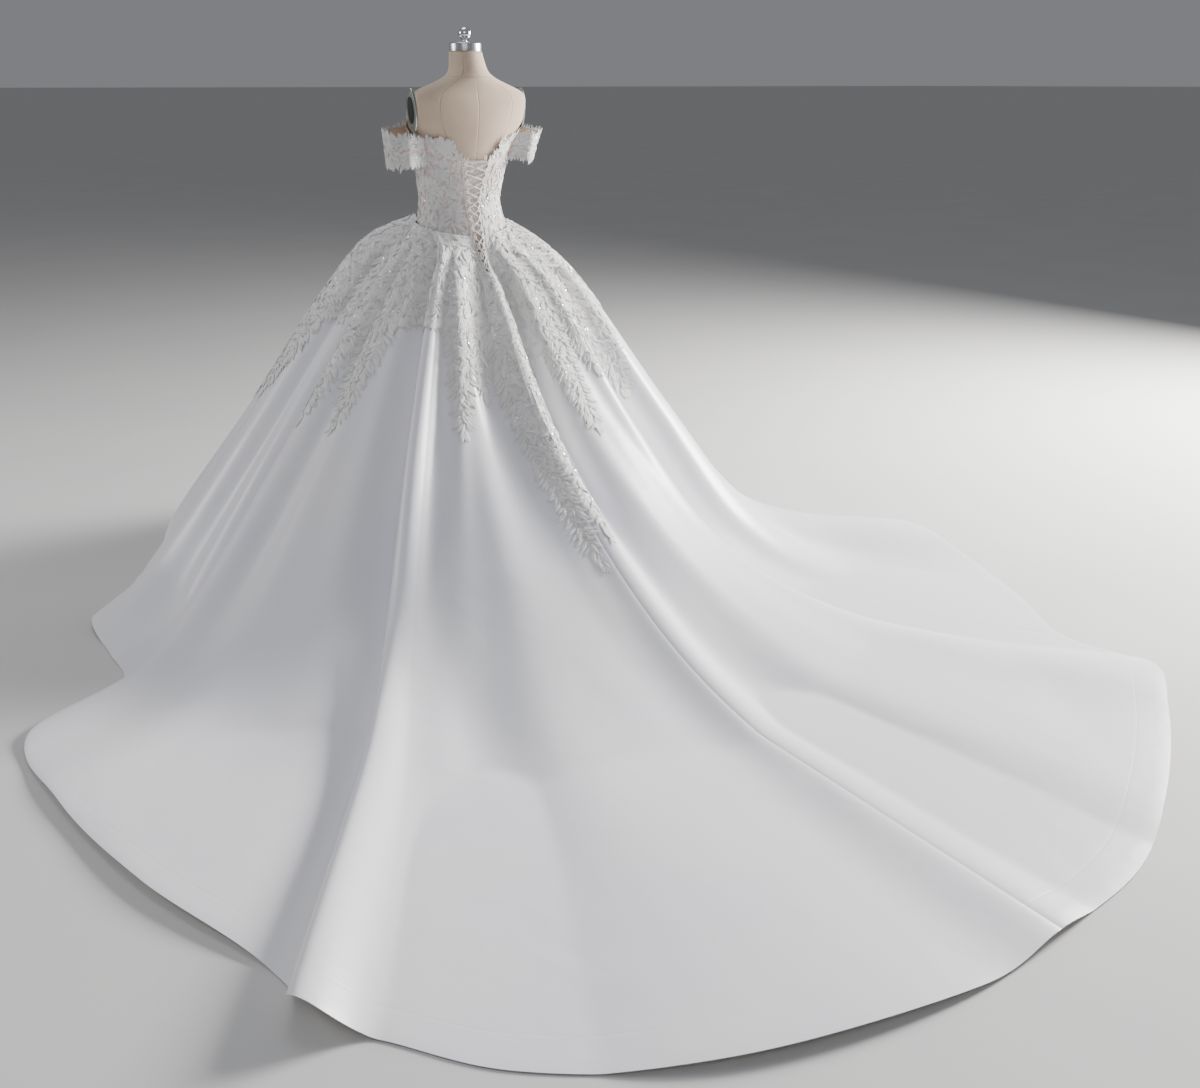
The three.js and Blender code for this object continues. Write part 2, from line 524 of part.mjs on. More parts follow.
// One strand from the top to the bottom: it turns in every loop and crosses the other strand between them.
function strand(firstSide, crossing) {
  return Array.from({ length: LOOP_PAIRS }, (_, k) => {
    const side = firstSide * (k % 2 ? -1 : 1);
    const z = loopHeight(k);
    const x = side * (loopTip(z) + TURN.inTip);
    const turn = [backPlace(z + TURN.half, x, CORD_LOW), backPlace(z - TURN.half, x, CORD_LOW)];
    return k + 1 < LOOP_PAIRS ? [...turn, backPlace(loopHeight(k + 0.5), 0, crossing)] : turn;
  }).flat();
}
add("lacing_cord", tube([...strand(1, CORD_LOW).reverse(), ...strand(-1, CORD_HIGH)], CORD, 8), CORD_LOOK);

// Sleeves: a band from the bodice's back round the empty arm to its front, with leaf tips at both edges.
const SLEEVE = { back: 66, front: 128, columns: 20, rows: 3, tooth: 7 };
const SLEEVE_EDGES = [
  { share: 0, low: 1238, high: 1300 },
  { share: 0.5, low: 1222, high: 1322 },
  { share: 1, low: 1262, high: 1346 },
];
const SLEEVE_PLAN = [
  { x: 200, y: 82 },
  { x: 243, y: 42 },
  { x: 222, y: -14 },
];
const SLEEVE_SEAT = 1.9; // middle of the band's end at the back, off the bodice
const SLEEVES = [
  { name: "sleeve_left", side: 1, narrowing: 0.02, lift: 0, seat: 1.4 },
  { name: "sleeve_right", side: -1, narrowing: 0.13, lift: 10, seat: 2.2 }, // hangs closer in
];

function sleeve({ name, side, narrowing, lift, seat }) {
  const route = (z, height) => {
    const shrink = 1 - narrowing * (1 - height);
    const middle = SLEEVE_PLAN.map(({ x, y }) => new THREE.Vector3(x * shrink, y, z));
    return new THREE.CatmullRomCurve3([
      figurePoint(SLEEVE.back, z, WORN + BODICE_WALL + SLEEVE_SEAT),
      ...middle,
      figurePoint(SLEEVE.front, z, WORN + BODICE_WALL + seat),
    ]);
  };
  const grid = (out) => Array.from({ length: SLEEVE.columns + 1 }, (_, i) => {
    const share = i / SLEEVE.columns;
    const tooth = i % 2 ? SLEEVE.tooth : 0;
    const low = tableValue(SLEEVE_EDGES, "share", "low", share) - tooth + lift;
    const high = tableValue(SLEEVE_EDGES, "share", "high", share) + tooth;
    return Array.from({ length: SLEEVE.rows + 1 }, (_, j) => {
      const height = j / SLEEVE.rows;
      const curve = route(mix(low, high, height), height);
      const forward = curve.getTangent(share);
      const normal = new THREE.Vector3(forward.y, -forward.x, 0).normalize().multiplyScalar(-out);
      const point = curve.getPoint(share).add(normal);
      return point.setX(side * point.x);
    });
  });
  add(name, wall(grid(0.5 * SLEEVE_WALL), grid(-0.5 * SLEEVE_WALL)), LACE_LOOK);
}
SLEEVES.forEach(sleeve);

// Dress form: body with flat arm sides, arm plates, neck cap, ball, pole and base
const FORM_COLUMNS = 24;
const FORM_HEIGHTS = [
  826, 836, 850, 900, 960, 1020, 1050, 1078, 1104, 1130, 1158, 1190, 1225,
  1262, 1300, 1330, 1360, 1390, 1412, 1428, 1442, 1456, 1472, 1500, 1530,
];
const armSide = (z) => ARM_PLANE.x - ARM_PLANE.slope * (ARM_PLANE.z - z);
const EASE = { back: 0.9, front: 3.2 }; // the form is that much slimmer than the figure below its shoulders
const EASE_TURN = { from: 60, to: 110 }; // angles between which the back's ease becomes the front's
const EASE_END = { from: 1340, to: 1380 }; // heights between which the ease runs out
const easeAt = (angle, z) =>
  mix(EASE.back, EASE.front, THREE.MathUtils.smoothstep(fromBack(angle), EASE_TURN.from, EASE_TURN.to)) *
  (1 - THREE.MathUtils.smoothstep(z, EASE_END.from, EASE_END.to));
const formRings = FORM_HEIGHTS.map((z) => Array.from({ length: FORM_COLUMNS }, (_, i) => {
  const angle = (i / FORM_COLUMNS) * 360;
  const point = figurePoint(angle, z, -easeAt(angle, z));
  return point.setX(THREE.MathUtils.clamp(point.x, -armSide(z), armSide(z)));
}));
add("form_body", stackedRings(formRings), LINEN_LOOK);

const SIDES = { plate: 12, pole: 24, base: 28, finial: 12, ball: 8 };
const ARM_PLATE = { z: 1376, y: 54, halfHeight: 60, halfDepth: 30, thickness: 5 };
const ARM_SOCKET = { halfHeight: 36, halfDepth: 17, thickness: 2 };
function ovalPlate({ halfHeight, halfDepth, thickness }) {
  const outline = new THREE.Shape().absellipse(0, 0, halfHeight, halfDepth, 0, 2 * Math.PI);
  const settings = { depth: thickness, bevelEnabled: false, curveSegments: SIDES.plate };
  return new THREE.ExtrudeGeometry(outline, settings);
}
for (const [word, side] of [["left", 1], ["right", -1]]) {
  const lean = Math.atan(ARM_PLANE.slope);
  const place = (mesh, out) => {
    mesh.rotation.y = side * (0.5 * Math.PI + lean);
    mesh.position.set(side * (armSide(ARM_PLATE.z) + out), ARM_PLATE.y, ARM_PLATE.z);
  };
  place(add("arm_plate_" + word, ovalPlate(ARM_PLATE), STEEL_LOOK), SEAM_GAP);
  place(add("arm_socket_" + word, ovalPlate(ARM_SOCKET), DARK_LOOK), ARM_PLATE.thickness + 2 * SEAM_GAP);
}

const NECK_TOP = { y: 55, z: 1530 };
const CAP = { radius: 45, height: 24 };
const FINIAL = { radius: 18, stem: 6, stemHeight: 6 };
const BASE = { radius: 200, height: 12, edge: 3 };
const POLE_RADIUS = 15;
const lathe = (profile, sides) =>
  new THREE.LatheGeometry(profile.map(([r, z]) => new THREE.Vector2(r, z)), sides).rotateX(0.5 * Math.PI);
const cylinder = (radius, height) => lathe([[0, 0], [radius, 0], [radius, height], [0, height]], SIDES.pole);
const cap = add("neck_cap", cylinder(CAP.radius, CAP.height), STEEL_LOOK);
cap.position.set(0, NECK_TOP.y, NECK_TOP.z + SEAM_GAP);
const ballCentre = FINIAL.stemHeight + Math.sqrt(FINIAL.radius ** 2 - FINIAL.stem ** 2);
const ballStart = Math.asin(FINIAL.stem / FINIAL.radius);
const ballProfile = Array.from({ length: SIDES.ball + 1 }, (_, k) => {
  const turn = mix(ballStart, Math.PI, k / SIDES.ball);
  return [Math.max(0, FINIAL.radius * Math.sin(turn)), ballCentre - FINIAL.radius * Math.cos(turn)];
});
const finial = add("finial", lathe([[0, 0], [FINIAL.stem, 0], ...ballProfile], SIDES.finial), STEEL_LOOK);
finial.position.set(0, NECK_TOP.y, cap.position.z + CAP.height + SEAM_GAP);
const baseProfile = [
  [0, 0],
  [BASE.radius, 0],
  [BASE.radius, BASE.height - BASE.edge],
  [BASE.radius - BASE.edge, BASE.height],
  [0, BASE.height],
];
add("base_plate", lathe(baseProfile, SIDES.base), STEEL_LOOK);
const pole = add("pole", cylinder(POLE_RADIUS, FORM_HEIGHTS[0] - BASE.height - 2 * SEAM_GAP), STEEL_LOOK);
pole.position.z = BASE.height + SEAM_GAP;

export default group;
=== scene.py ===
# %% [markdown]
# # A laced ball gown on a limbless dress form
#
# The gown is heavy white satin with a long train. Corded leaf lace covers its bodice and sleeves and runs down
# the skirt in fingers, and a cord laces up its back. It stands on a linen-covered form with steel fittings.
# The solids come in as a fixed frame. Every piece below lies on its solid, with the finer forms of real cloth.

# %% Load the frame
import math

import bmesh
import bpy
import numpy as np
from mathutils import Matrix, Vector


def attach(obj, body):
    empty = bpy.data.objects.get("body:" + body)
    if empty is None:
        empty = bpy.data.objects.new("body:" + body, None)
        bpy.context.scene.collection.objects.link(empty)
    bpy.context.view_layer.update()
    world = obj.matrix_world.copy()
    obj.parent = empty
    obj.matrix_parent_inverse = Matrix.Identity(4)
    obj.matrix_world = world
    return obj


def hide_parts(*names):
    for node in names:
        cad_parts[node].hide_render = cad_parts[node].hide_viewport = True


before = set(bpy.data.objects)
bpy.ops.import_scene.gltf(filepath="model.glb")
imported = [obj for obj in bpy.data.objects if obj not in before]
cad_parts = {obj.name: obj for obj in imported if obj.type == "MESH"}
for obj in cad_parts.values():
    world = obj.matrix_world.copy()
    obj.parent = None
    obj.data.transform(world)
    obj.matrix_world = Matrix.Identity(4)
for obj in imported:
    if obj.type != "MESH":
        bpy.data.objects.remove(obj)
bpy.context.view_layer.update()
MM = 0.001  # the tables below are in millimetres, and Blender works in metres
print("solids:", len(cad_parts))

# %% [markdown]
# ## Camera and light
# The photo looks down at the back of the dress from its left. A window-like key light on its right makes the
# right back panel the brightest, and a weaker light on the left keeps the deep folds readable.

# %% Camera
scene = bpy.context.scene
camera = bpy.data.objects.new("camera", bpy.data.cameras.new("camera"))
scene.collection.objects.link(camera)
camera.location = (1.7754, 3.6073, 1.45)
camera.rotation_euler = (math.radians(70.8), 0, math.radians(148))
camera.data.lens = 39.8
scene.camera = camera


# %% Lights
def soft_light(name, place, target, size, power, colour):
    data = bpy.data.lights.new(name, "AREA")
    data.size = size
    data.energy = power
    data.color = colour
    light = bpy.data.objects.new(name, data)
    light.location = place
    light.rotation_euler = (Vector(target) - Vector(place)).to_track_quat("-Z", "Y").to_euler()
    scene.collection.objects.link(light)


soft_light("key", (-5.0, 0.9, 2.2), (-0.2, 0.9, 0.35), 2.0, 1100, (1, 0.985, 0.96))
soft_light("left", (4.4, -2.2, 2.4), (0.3, 0.2, 0.6), 1.3, 85, (1, 0.985, 0.965))
soft_light("fill", (2.6, 4.8, 3.2), (0.2, 0.8, 0.4), 2.4, 40, (0.88, 0.92, 1))
soft_light("top", (0.2, -0.4, 4.6), (0, 0.8, 0), 2.0, 36, (0.93, 0.955, 1))
world = bpy.data.worlds.new("studio")
world.use_nodes = True
world.node_tree.nodes["Background"].inputs["Color"].default_value = (0.88, 0.9, 0.95, 1)
world.node_tree.nodes["Background"].inputs["Strength"].default_value = 0.24
scene.world = world

# %% [markdown]
# ## Sizes
# A maker works from a form's sections and from the edges of the cut. The same named sizes are used here as in
# the solids, so that each cloth lies where its solid is. Angles run round the pole from the centre back.

# %% Sizes of the figure and the edges of the bodice
SECTIONS = [  # height, half width, front, back, how far the centre lies behind the pole
    (826, 150, 88, 92, -2),
    (850, 163, 100, 106, -2),
    (930, 166, 106, 114, -4),
    (1020, 146, 100, 102, -8),
    (1075, 126, 92, 86, -11),
    (1126, 117, 86, 76, -10),
    (1180, 124, 94, 80, -2),
    (1225, 132, 102, 86, 8),
    (1270, 142, 108, 88, 20),
    (1310, 158, 108, 86, 34),
    (1345, 182, 98, 80, 46),
    (1375, 190, 90, 74, 54),
    (1402, 190, 78, 66, 62),
    (1420, 174, 66, 58, 66),
    (1434, 146, 56, 54, 69),
    (1448, 110, 52, 52, 71),
    (1462, 78, 52, 50, 72),
    (1478, 58, 52, 49, 70),
    (1505, 50, 48, 48, 62),
    (1530, 46, 46, 47, 55),
]
BUST_HEIGHT, BUST_ANGLE, BUST_DEPTH, BUST_HALF_ANGLE, BUST_HALF_HEIGHT = 1262, 29, 24, 22, 46
NECKLINE = [  # angle, height
    (0, 1246),
    (19, 1248),
    (28, 1268),
    (37, 1288),
    (48, 1297),
    (70, 1302),
    (90, 1306),
    (122, 1346),
    (150, 1322),
    (170, 1284),
    (180, 1272),
]
WAIST_SEAM = [  # angle, height
    (0, 1026),
    (50, 1044),
    (90, 1064),
    (122, 1084),
    (155, 1040),
    (180, 992),
]
LACED_OPENING = [  # height, half width
    (908, 0.15),
    (925, 4),
    (985, 10),
    (1040, 17),
    (1108, 19),
    (1170, 27),
    (1250, 43),
]
WORN = 3.0  # inside of the bodice, outwards of the figure
BODICE_WALL = 2.0
SATIN = 2.5


def smooth_value(rows, column, x):
    """The value of a table's column at x, on a smooth curve through its rows."""
    at, value = (np.array([row[k] for row in rows], float) for k in (0, column))
    last = len(at) - 1
    x = np.asarray(x, float)
    i = np.clip(np.searchsorted(at, x), 1, last)
    r0, r1, r2, r3 = (np.clip(i + step, 0, last) for step in (-2, -1, 0, 1))
    span = at[r2] - at[r1]
    t = np.clip((x - at[r1]) / span, 0, 1)
    m1 = (value[r2] - value[r0]) / (at[r2] - at[r0]) * span
    m2 = (value[r3] - value[r1]) / (at[r3] - at[r1]) * span
    rise = value[r2] - value[r1]
    return value[r1] + t * (m1 + t * (3 * rise - 2 * m1 - m2 + t * (m1 + m2 - 2 * rise)))


def bump(x, width):
    return np.exp(-((x / width) ** 2))


def from_back(angle):
    return np.abs((np.asarray(angle) + 180) % 360 - 180)


def unit(vectors):
    return vectors / np.maximum(np.linalg.norm(vectors, axis=-1, keepdims=True), 1e-9)


def figure_point(angle, z, out=0.0):
    """A point of the figure at an angle and a height, moved out by a distance."""
    angle, z, out = np.broadcast_arrays(*(np.asarray(value, float) for value in (angle, z, out)))
    s, c = np.sin(np.radians(angle)), np.cos(np.radians(angle))
    a, centre = smooth_value(SECTIONS, 1, z), smooth_value(SECTIONS, 4, z)
    b = np.where(c > 0, smooth_value(SECTIONS, 3, z), smooth_value(SECTIONS, 2, z))
    cup = BUST_DEPTH * bump(from_back(angle) - 180 + BUST_ANGLE, BUST_HALF_ANGLE)
    cup = cup * bump(z - BUST_HEIGHT, BUST_HALF_HEIGHT)
    normal = unit(np.stack([s / a, c / b, 0 * s], -1))
    return np.stack([a * s, centre + b * c - cup, z], -1) + normal * out[..., None]


# %% [markdown]
# The skirt hangs from the waist in long folds. Each line below runs down one crest, foot or flat of a fold to
# the hem, and the cloth passes smoothly through all of them.

# %% Skirt lines
SKIRT_LINES = [  # name, waist angle, tuck, hem angle, yoke, hip, middle, low, settle, reach, rise
    ("centre_back", 0, 0, 0, 118, 185, 480, 975, 6, 2331, 0),
    ("back_dip_left", 12, 0, 6, 116, 168, 440, 940, 2, 2375, 0),
    ("back_panel_left", 26, 4, 17, 130, 205, 480, 950, 3, 2392, 0),
    ("back_side_left", 38, 5, 25.5, 146, 228, 500, 945, 14, 2340, 0),
    ("deep_roll_left", 47, 6, 31, 158, 236, 535, 940, 30, 2252, 4),
    ("deep_crest_left", 52, 9, 34, 166, 246, 560, 930, 64, 2238, 58),
    ("deep_foot_left", 57, 0, 35.5, 152, 205, 470, 800, 6, 2120, 0),
    ("side_panel_left", 70, 3, 46, 174, 250, 540, 880, 8, 1895, 0),
    ("side_swell_left", 84, 5, 58, 186, 272, 580, 930, 28, 1695, 4),
    ("side_crest_left", 94, 9, 69, 190, 295, 615, 960, 50, 1540, 18),
    ("side_foot_left", 99, 0, 74, 170, 250, 535, 830, 12, 1220, 0),
    ("hip_panel_left", 107, 3, 82, 215, 325, 620, 890, 60, 1172, 0),
    ("hip_crest_left", 117, 5, 95, 275, 384, 670, 950, 90, 1150, 22),
    ("hip_foot_left", 122, 0, 102, 262, 358, 625, 880, 60, 1000, 0),
    ("front_side_left", 133, 5, 113, 285, 396, 686, 945, 60, 1036, 6),
    ("front_foot_left", 145, 0, 129, 240, 350, 610, 815, 75, 905, 0),
    ("front_crest_left", 157, 5, 146, 245, 372, 650, 855, 80, 950, 8),
    ("front_dip_left", 168, 0, 163, 232, 345, 608, 812, 80, 900, 0),
    ("centre_front", 180, 4, 180, 238, 356, 630, 838, 80, 925, 4),
    ("front_dip_right", 192, 0, 197, 232, 345, 608, 812, 80, 900, 0),
    ("front_crest_right", 203, 5, 214, 245, 372, 650, 855, 80, 950, 8),
    ("front_foot_right", 215, 0, 231, 240, 350, 610, 815, 75, 905, 0),
    ("front_side_right", 227, 5, 246, 262, 392, 675, 900, 70, 1030, 10),
    ("hip_foot_right", 238, 0, 257, 235, 345, 610, 850, 60, 1000, 0),
    ("hip_crest_right", 243, 3, 264, 240, 362, 648, 900, 80, 1060, 22),
    ("hip_panel_right", 253, 3, 276, 222, 332, 606, 880, 60, 1090, 4),
    ("side_foot_right", 261, 0, 284, 195, 290, 560, 830, 20, 1150, 0),
    ("side_crest_right", 266, 5, 292, 226, 334, 618, 905, 84, 1450, 52),
    ("side_swell_right", 276, 5, 303, 226, 332, 615, 900, 30, 1595, 6),
    ("side_panel_right", 290, 3, 313, 224, 322, 594, 860, 8, 1690, 0),
    ("deep_foot_right", 303, 0, 322, 165, 240, 470, 730, 6, 1800, 0),
    ("deep_crest_right", 308, 9, 325.5, 166, 264, 515, 800, 12, 2012, 20),
    ("back_side_right", 319, 5, 334, 145, 240, 500, 850, 10, 2095, 8),
    ("back_panel_right", 334, 4, 345, 135, 215, 480, 900, 6, 2205, 0),
    ("back_dip_right", 348, 0, 352.5, 116, 165, 430, 920, 3, 2290, 0),
]
HIP_HEIGHT, MIDDLE_HEIGHT, LOW_HEIGHT = 900, 500, 150
TURN_SHARES = (0, 0.12, 0.25, 0.5, 0.7, 0.88, 1)
LEVELS_PER_SPAN = (2, 2, 3, 3, 2, 2)
SKIRT_EASE = 2.7
LINES = len(SKIRT_LINES)


def mix(a, b, share):
    return a + (b - a) * share


def line_points(row):
    _, waist, tuck, hem, yoke, hip, middle, low, settle, reach, rise = row
    seam = float(smooth_value(WAIST_SEAM, 1, from_back(waist)))
    heights = (mix(seam, HIP_HEIGHT, 1 / 3), HIP_HEIGHT, MIDDLE_HEIGHT, LOW_HEIGHT, settle, rise)
    distances = (yoke, hip, middle, low, mix(low, reach, 1 / 3), reach)
    points = [figure_point(waist, seam, WORN + SKIRT_EASE + tuck)]
    for share, height, distance in zip(TURN_SHARES[1:], heights, distances):
        turn = math.radians(mix(waist, hem, share))
        points.append(np.array([distance * math.sin(turn), distance * math.cos(turn), height]))
    ends = [2 * points[0] - points[1], 2 * points[-1] - points[-2]]
    return np.array([ends[0], *points, ends[1]])


LINE_POINTS = np.array([line_points(row) for row in SKIRT_LINES])
SPANS = LINE_POINTS.shape[1] - 3


def through(p0, p1, p2, p3, share):
    """The point a share of the way from p1 to p2 on a smooth curve through four points."""
    gaps = [np.maximum(((b - a) ** 2).sum(-1, keepdims=True), 1e-8) ** 0.25
            for a, b in ((p0, p1), (p1, p2), (p2, p3))]
    d0, d1, d2 = gaps
    t1 = ((p1 - p0) / d0 - (p2 - p0) / (d0 + d1) + (p2 - p1) / d1) * d1
    t2 = ((p2 - p1) / d1 - (p3 - p1) / (d1 + d2) + (p3 - p2) / d2) * d1
    w = share[..., None]
    return p1 + w * (t1 + w * (3 * (p2 - p1) - 2 * t1 - t2 + w * (2 * (p1 - p2) + t1 + t2)))


def line_at(line, share):
    along = np.clip(share, 0, 1) * SPANS
    k = np.minimum(along.astype(int), SPANS - 1)
    p = [LINE_POINTS[line, k + step] for step in range(4)]
    return through(*p, along - k)


def skirt_base(place, share):
    """A point on the skirt: place counts the lines round it and share runs from the waist to the hem."""
    place, share = np.broadcast_arrays(np.asarray(place, float), np.asarray(share, float))
    k = np.floor(place).astype(int)
    p = [line_at((k + step) % LINES, share) for step in (-1, 0, 1, 2)]
    point = through(*p, place - k)
    point[..., 2] = np.maximum(point[..., 2], 0)
    return point


print("skirt lines:", LINES)

# %% [markdown]
# Satin never hangs in clean tubes. These creases were read off the photo where it shows them and are placed
# on the hidden sides too. Each runs between two shares of the length and drifts sideways on its way.

# %% Creases of the skirt
CREASES = [  # place, from, to, drift, half width in lines, height
    (5.6, 0.02, 1.25, 0.3, 0.28, -26),
    (4.35, 0.04, 1.25, 0.5, 0.5, 10),
    (3.3, 0.12, 0.8, 0.4, 0.3, -10),
    (7.75, 0.02, 1.35, 1.2, 0.26, -20),
    (7.3, 0.06, 1.3, 1.1, 0.3, 9),
    (10.75, 0.1, 1.2, 0.7, 0.28, -20),
    (10.35, 0.12, 1.2, 0.7, 0.28, 8),
    (33.5, 0.22, 1.05, 1.1, 0.34, -22),
    (33.05, 0.24, 1.02, 1.5, 0.3, 9),
    (34.4, 0.3, 1.2, 0.7, 0.26, 8),
    (1.95, 0.24, 0.62, -0.5, 0.4, -14),
    (2.6, 0.3, 0.75, 0.3, 0.3, 9),
    (6.6, 0.35, 1.25, 0.2, 0.75, 24),
    (1.5, 0.45, 1.25, 0.3, 0.8, 24),
    (2.8, 0.5, 1.2, 0.5, 0.55, -20),
    (0.5, 0.55, 1.2, 0.2, 0.5, -12),
    (34.6, 0.25, 1.25, 0.45, 0.42, 22),
    (33.7, 0.5, 1.2, 0.6, 0.5, -20),
    (32.6, 0.4, 1.15, 0.4, 0.6, 24),
    (30.2, 0.4, 1.15, 0.2, 0.6, -18),
    (0.75, 0.3, 0.9, -0.2, 0.28, 6),
    (1.35, 0.5, 0.98, 0.4, 0.34, -7),
    (2.4, 0.62, 1.1, 0.5, 0.42, -9),
    (3.3, 0.7, 1.15, 0.3, 0.4, 8),
    (5.6, 0.2, 0.9, 0.25, 0.24, 8),
    (5.9, 0.5, 1.05, 0.35, 0.3, -9),
    (6.7, 0.22, 0.85, 0.35, 0.28, 7),
    (7.1, 0.55, 1.0, -0.25, 0.3, -8),
    (9.5, 0.3, 0.95, 0.3, 0.26, 9),
    (9.9, 0.5, 1.02, 0.1, 0.2, -8),
    (11.5, 0.4, 1.02, 0.25, 0.28, 8),
    (12.6, 0.12, 0.85, 0.15, 0.2, -12),
    (13.1, 0.16, 0.9, 0.1, 0.22, 7),
    (13.8, 0.3, 1.0, 0.1, 0.26, -7),
    (14.5, 0.2, 0.95, 0.15, 0.22, 8),
    (15.55, 0.1, 0.95, -0.15, 0.2, -11),
    (16.5, 0.2, 0.8, 0.1, 0.24, 8),
    (17.45, 0.12, 1.0, -0.1, 0.2, -10),
    (18.3, 0.25, 0.9, 0.15, 0.24, 7),
    (19.3, 0.1, 1.0, -0.2, 0.2, -11),
    (20.1, 0.2, 0.8, 0.1, 0.24, 8),
    (21.4, 0.12, 0.95, 0.1, 0.2, -10),
    (22.5, 0.25, 0.85, -0.15, 0.24, 8),
    (23.55, 0.12, 1.0, 0.1, 0.2, -11),
    (24.4, 0.3, 0.95, 0.2, 0.24, 7),
    (25.5, 0.1, 0.9, -0.2, 0.2, -10),
    (26.6, 0.25, 0.98, 0.1, 0.24, 8),
    (27.7, 0.1, 0.9, 0.2, 0.2, -12),
    (28.4, 0.2, 0.85, 0.25, 0.26, 9),
    (29.4, 0.14, 1.0, -0.1, 0.22, -11),
    (30.4, 0.25, 0.92, 0.2, 0.26, 9),
    (30.9, 0.2, 1.2, 0.1, 0.36, -18),
    (31.65, 0.16, 1.35, -0.2, 0.42, 22),
    (32.6, 0.35, 1.0, 0.3, 0.26, -7),
]
RIPPLES = [  # waves round the skirt, waves down it, start, height at the hem
    (11, 1.5, 0.4, 2.2),
    (17, -2.5, 2.1, 1.6),
    (29, 3.5, 4.4, 1.1),
]
PANEL_SEAMS = (0, 6, 10, 15, 21, 26, 30)
SEAM_DIP, SEAM_DIP_WIDTH = 1.2, 0.05
CREASE_START, CREASE_FADE = 0.04, 0.16  # shares over which the creases grow below the waist
CREASE_NARROW, CREASE_WIDENS, CREASE_ENDS = 0.6, 0.9, 0.8


def crease_height(place, share):
    height = np.zeros(np.broadcast(place, share).shape)
    for at, start, end, drift, half_width, high in CREASES:
        t = np.clip((share - start) / (end - start), 0, 1)
        beside = (place - at - drift * t + LINES / 2) % LINES - LINES / 2
        width = half_width * (CREASE_NARROW + CREASE_WIDENS * share)
        height += high * bump(beside, width) * np.sin(math.pi * t) ** CREASE_ENDS
    for round_it, down, start, high in RIPPLES:
        wave = np.sin(2 * math.pi * (round_it * place / LINES + down * share) + start)
        height += high * wave * np.clip(share - 0.2, 0, 1)
    for seam in PANEL_SEAMS:
        beside = (place - seam + LINES / 2) % LINES - LINES / 2
        height -= SEAM_DIP * bump(beside, SEAM_DIP_WIDTH)
    return height


def skirt_surface(place, share, out=0.0):
    """A point on the creased skirt, moved out from its inner face."""
    place, share = np.broadcast_arrays(np.asarray(place, float), np.asarray(share, float))
    aside, along = 0.05, 0.004
    above, below = np.maximum(share - along, 0), np.minimum(share + along, 1)
    across = skirt_base(place + aside, share) - skirt_base(place - aside, share)
    normal = unit(np.cross(across, skirt_base(place, below) - skirt_base(place, above)))
    lift = crease_height(place, share) * np.clip((share - CREASE_START) / CREASE_FADE, 0, 1) + out
    point = skirt_base(place, share) + normal * lift[..., None]
    point[..., 2] = np.maximum(point[..., 2], out)
    return point


print("creases:", len(CREASES))

# %% [markdown]
# ## Laying cloth
# A flat grid has the threads of the cut cloth, and laying it on a surface keeps them. Each grid here is made by
# an operator, its points are then moved onto the surface, and its own UV map keeps its place in the cut.


# %% Lay a flat grid on a surface
def to_object(name, mesh, materials):
    piece = bpy.data.objects.new(name, mesh)
    scene.collection.objects.link(piece)
    for material in materials:
        mesh.materials.append(material)
    mesh.shade_smooth()
    return piece


def finished_mesh(shape, name):
    mesh = bpy.data.meshes.new(name)
    shape.to_mesh(mesh)
    shape.free()
    return mesh


def coordinates(mesh):
    at = np.empty(3 * len(mesh.vertices))
    mesh.vertices.foreach_get("co", at)
    return at.reshape(-1, 3)


def move_points(mesh, points):
    """A mesh's points are moved to places given in millimetres."""
    mesh.vertices.foreach_set("co", (points * MM).ravel())
    mesh.update()


def laid_grid(name, surface, columns, rows, materials, wall=None):
    """A grid laid on surface(u, v), whose u and v run from 0 to 1, turned to face away from the pole."""
    flat = bmesh.new()
    flat.loops.layers.uv.new("cut")
    bmesh.ops.create_grid(flat, x_segments=columns, y_segments=rows, size=0.5, calc_uvs=True)
    mesh = finished_mesh(flat, name)
    u, v = coordinates(mesh).T[:2] + 0.5
    move_points(mesh, surface(u, v))
    outwards = sum(face.normal.x * face.center.x + face.normal.y * face.center.y for face in mesh.polygons)
    if outwards < 0:
        mesh.flip_normals()
    piece = to_object(name, mesh, materials)
    if wall:
        solidify = piece.modifiers.new("wall", "SOLIDIFY")
        solidify.thickness = wall * MM
        solidify.offset = -1
        solidify.material_offset = len(materials) - 1
        crisp = piece.modifiers.new("crisp_edges", "WEIGHTED_NORMAL")
        crisp.weight = 100
    return piece


# %% [markdown]
# ## Shared effects
# Cloth, metal and linen all need slow changes of tone and fine grain. Each effect is a node group
# that is built once, and each material places it with its own values.


# %% Helpers for node groups
def node_group(name, inputs, outputs):
    tree = bpy.data.node_groups.new(name, "ShaderNodeTree")
    kinds = {"number": "NodeSocketFloat", "colour": "NodeSocketColor", "vector": "NodeSocketVector"}
    for label, kind, value in inputs:
        socket = tree.interface.new_socket(label, in_out="INPUT", socket_type=kinds[kind])
        if value is not None:
            socket.default_value = value
    for label, kind in outputs:
        tree.interface.new_socket(label, in_out="OUTPUT", socket_type=kinds[kind])
    return tree, tree.nodes.new("NodeGroupInput").outputs, tree.nodes.new("NodeGroupOutput").inputs


def wired(tree, node, links):
    """A node's inputs are linked or set, by name or number."""
    for key, source in links.items():
        if isinstance(source, bpy.types.NodeSocket):
            tree.links.new(source, node.inputs[key])
        else:
            node.inputs[key].default_value = source
    return node.outputs


def add_node(tree, kind, links=None, **settings):
    node = tree.nodes.new("ShaderNode" + kind)
    for key, value in settings.items():
        setattr(node, key, value)
    return wired(tree, node, links or {})


def arithmetic(tree, operation, a, b=0.0, clamp=False):
    return add_node(tree, "Math", {0: a, 1: b}, operation=operation, use_clamp=clamp)[0]


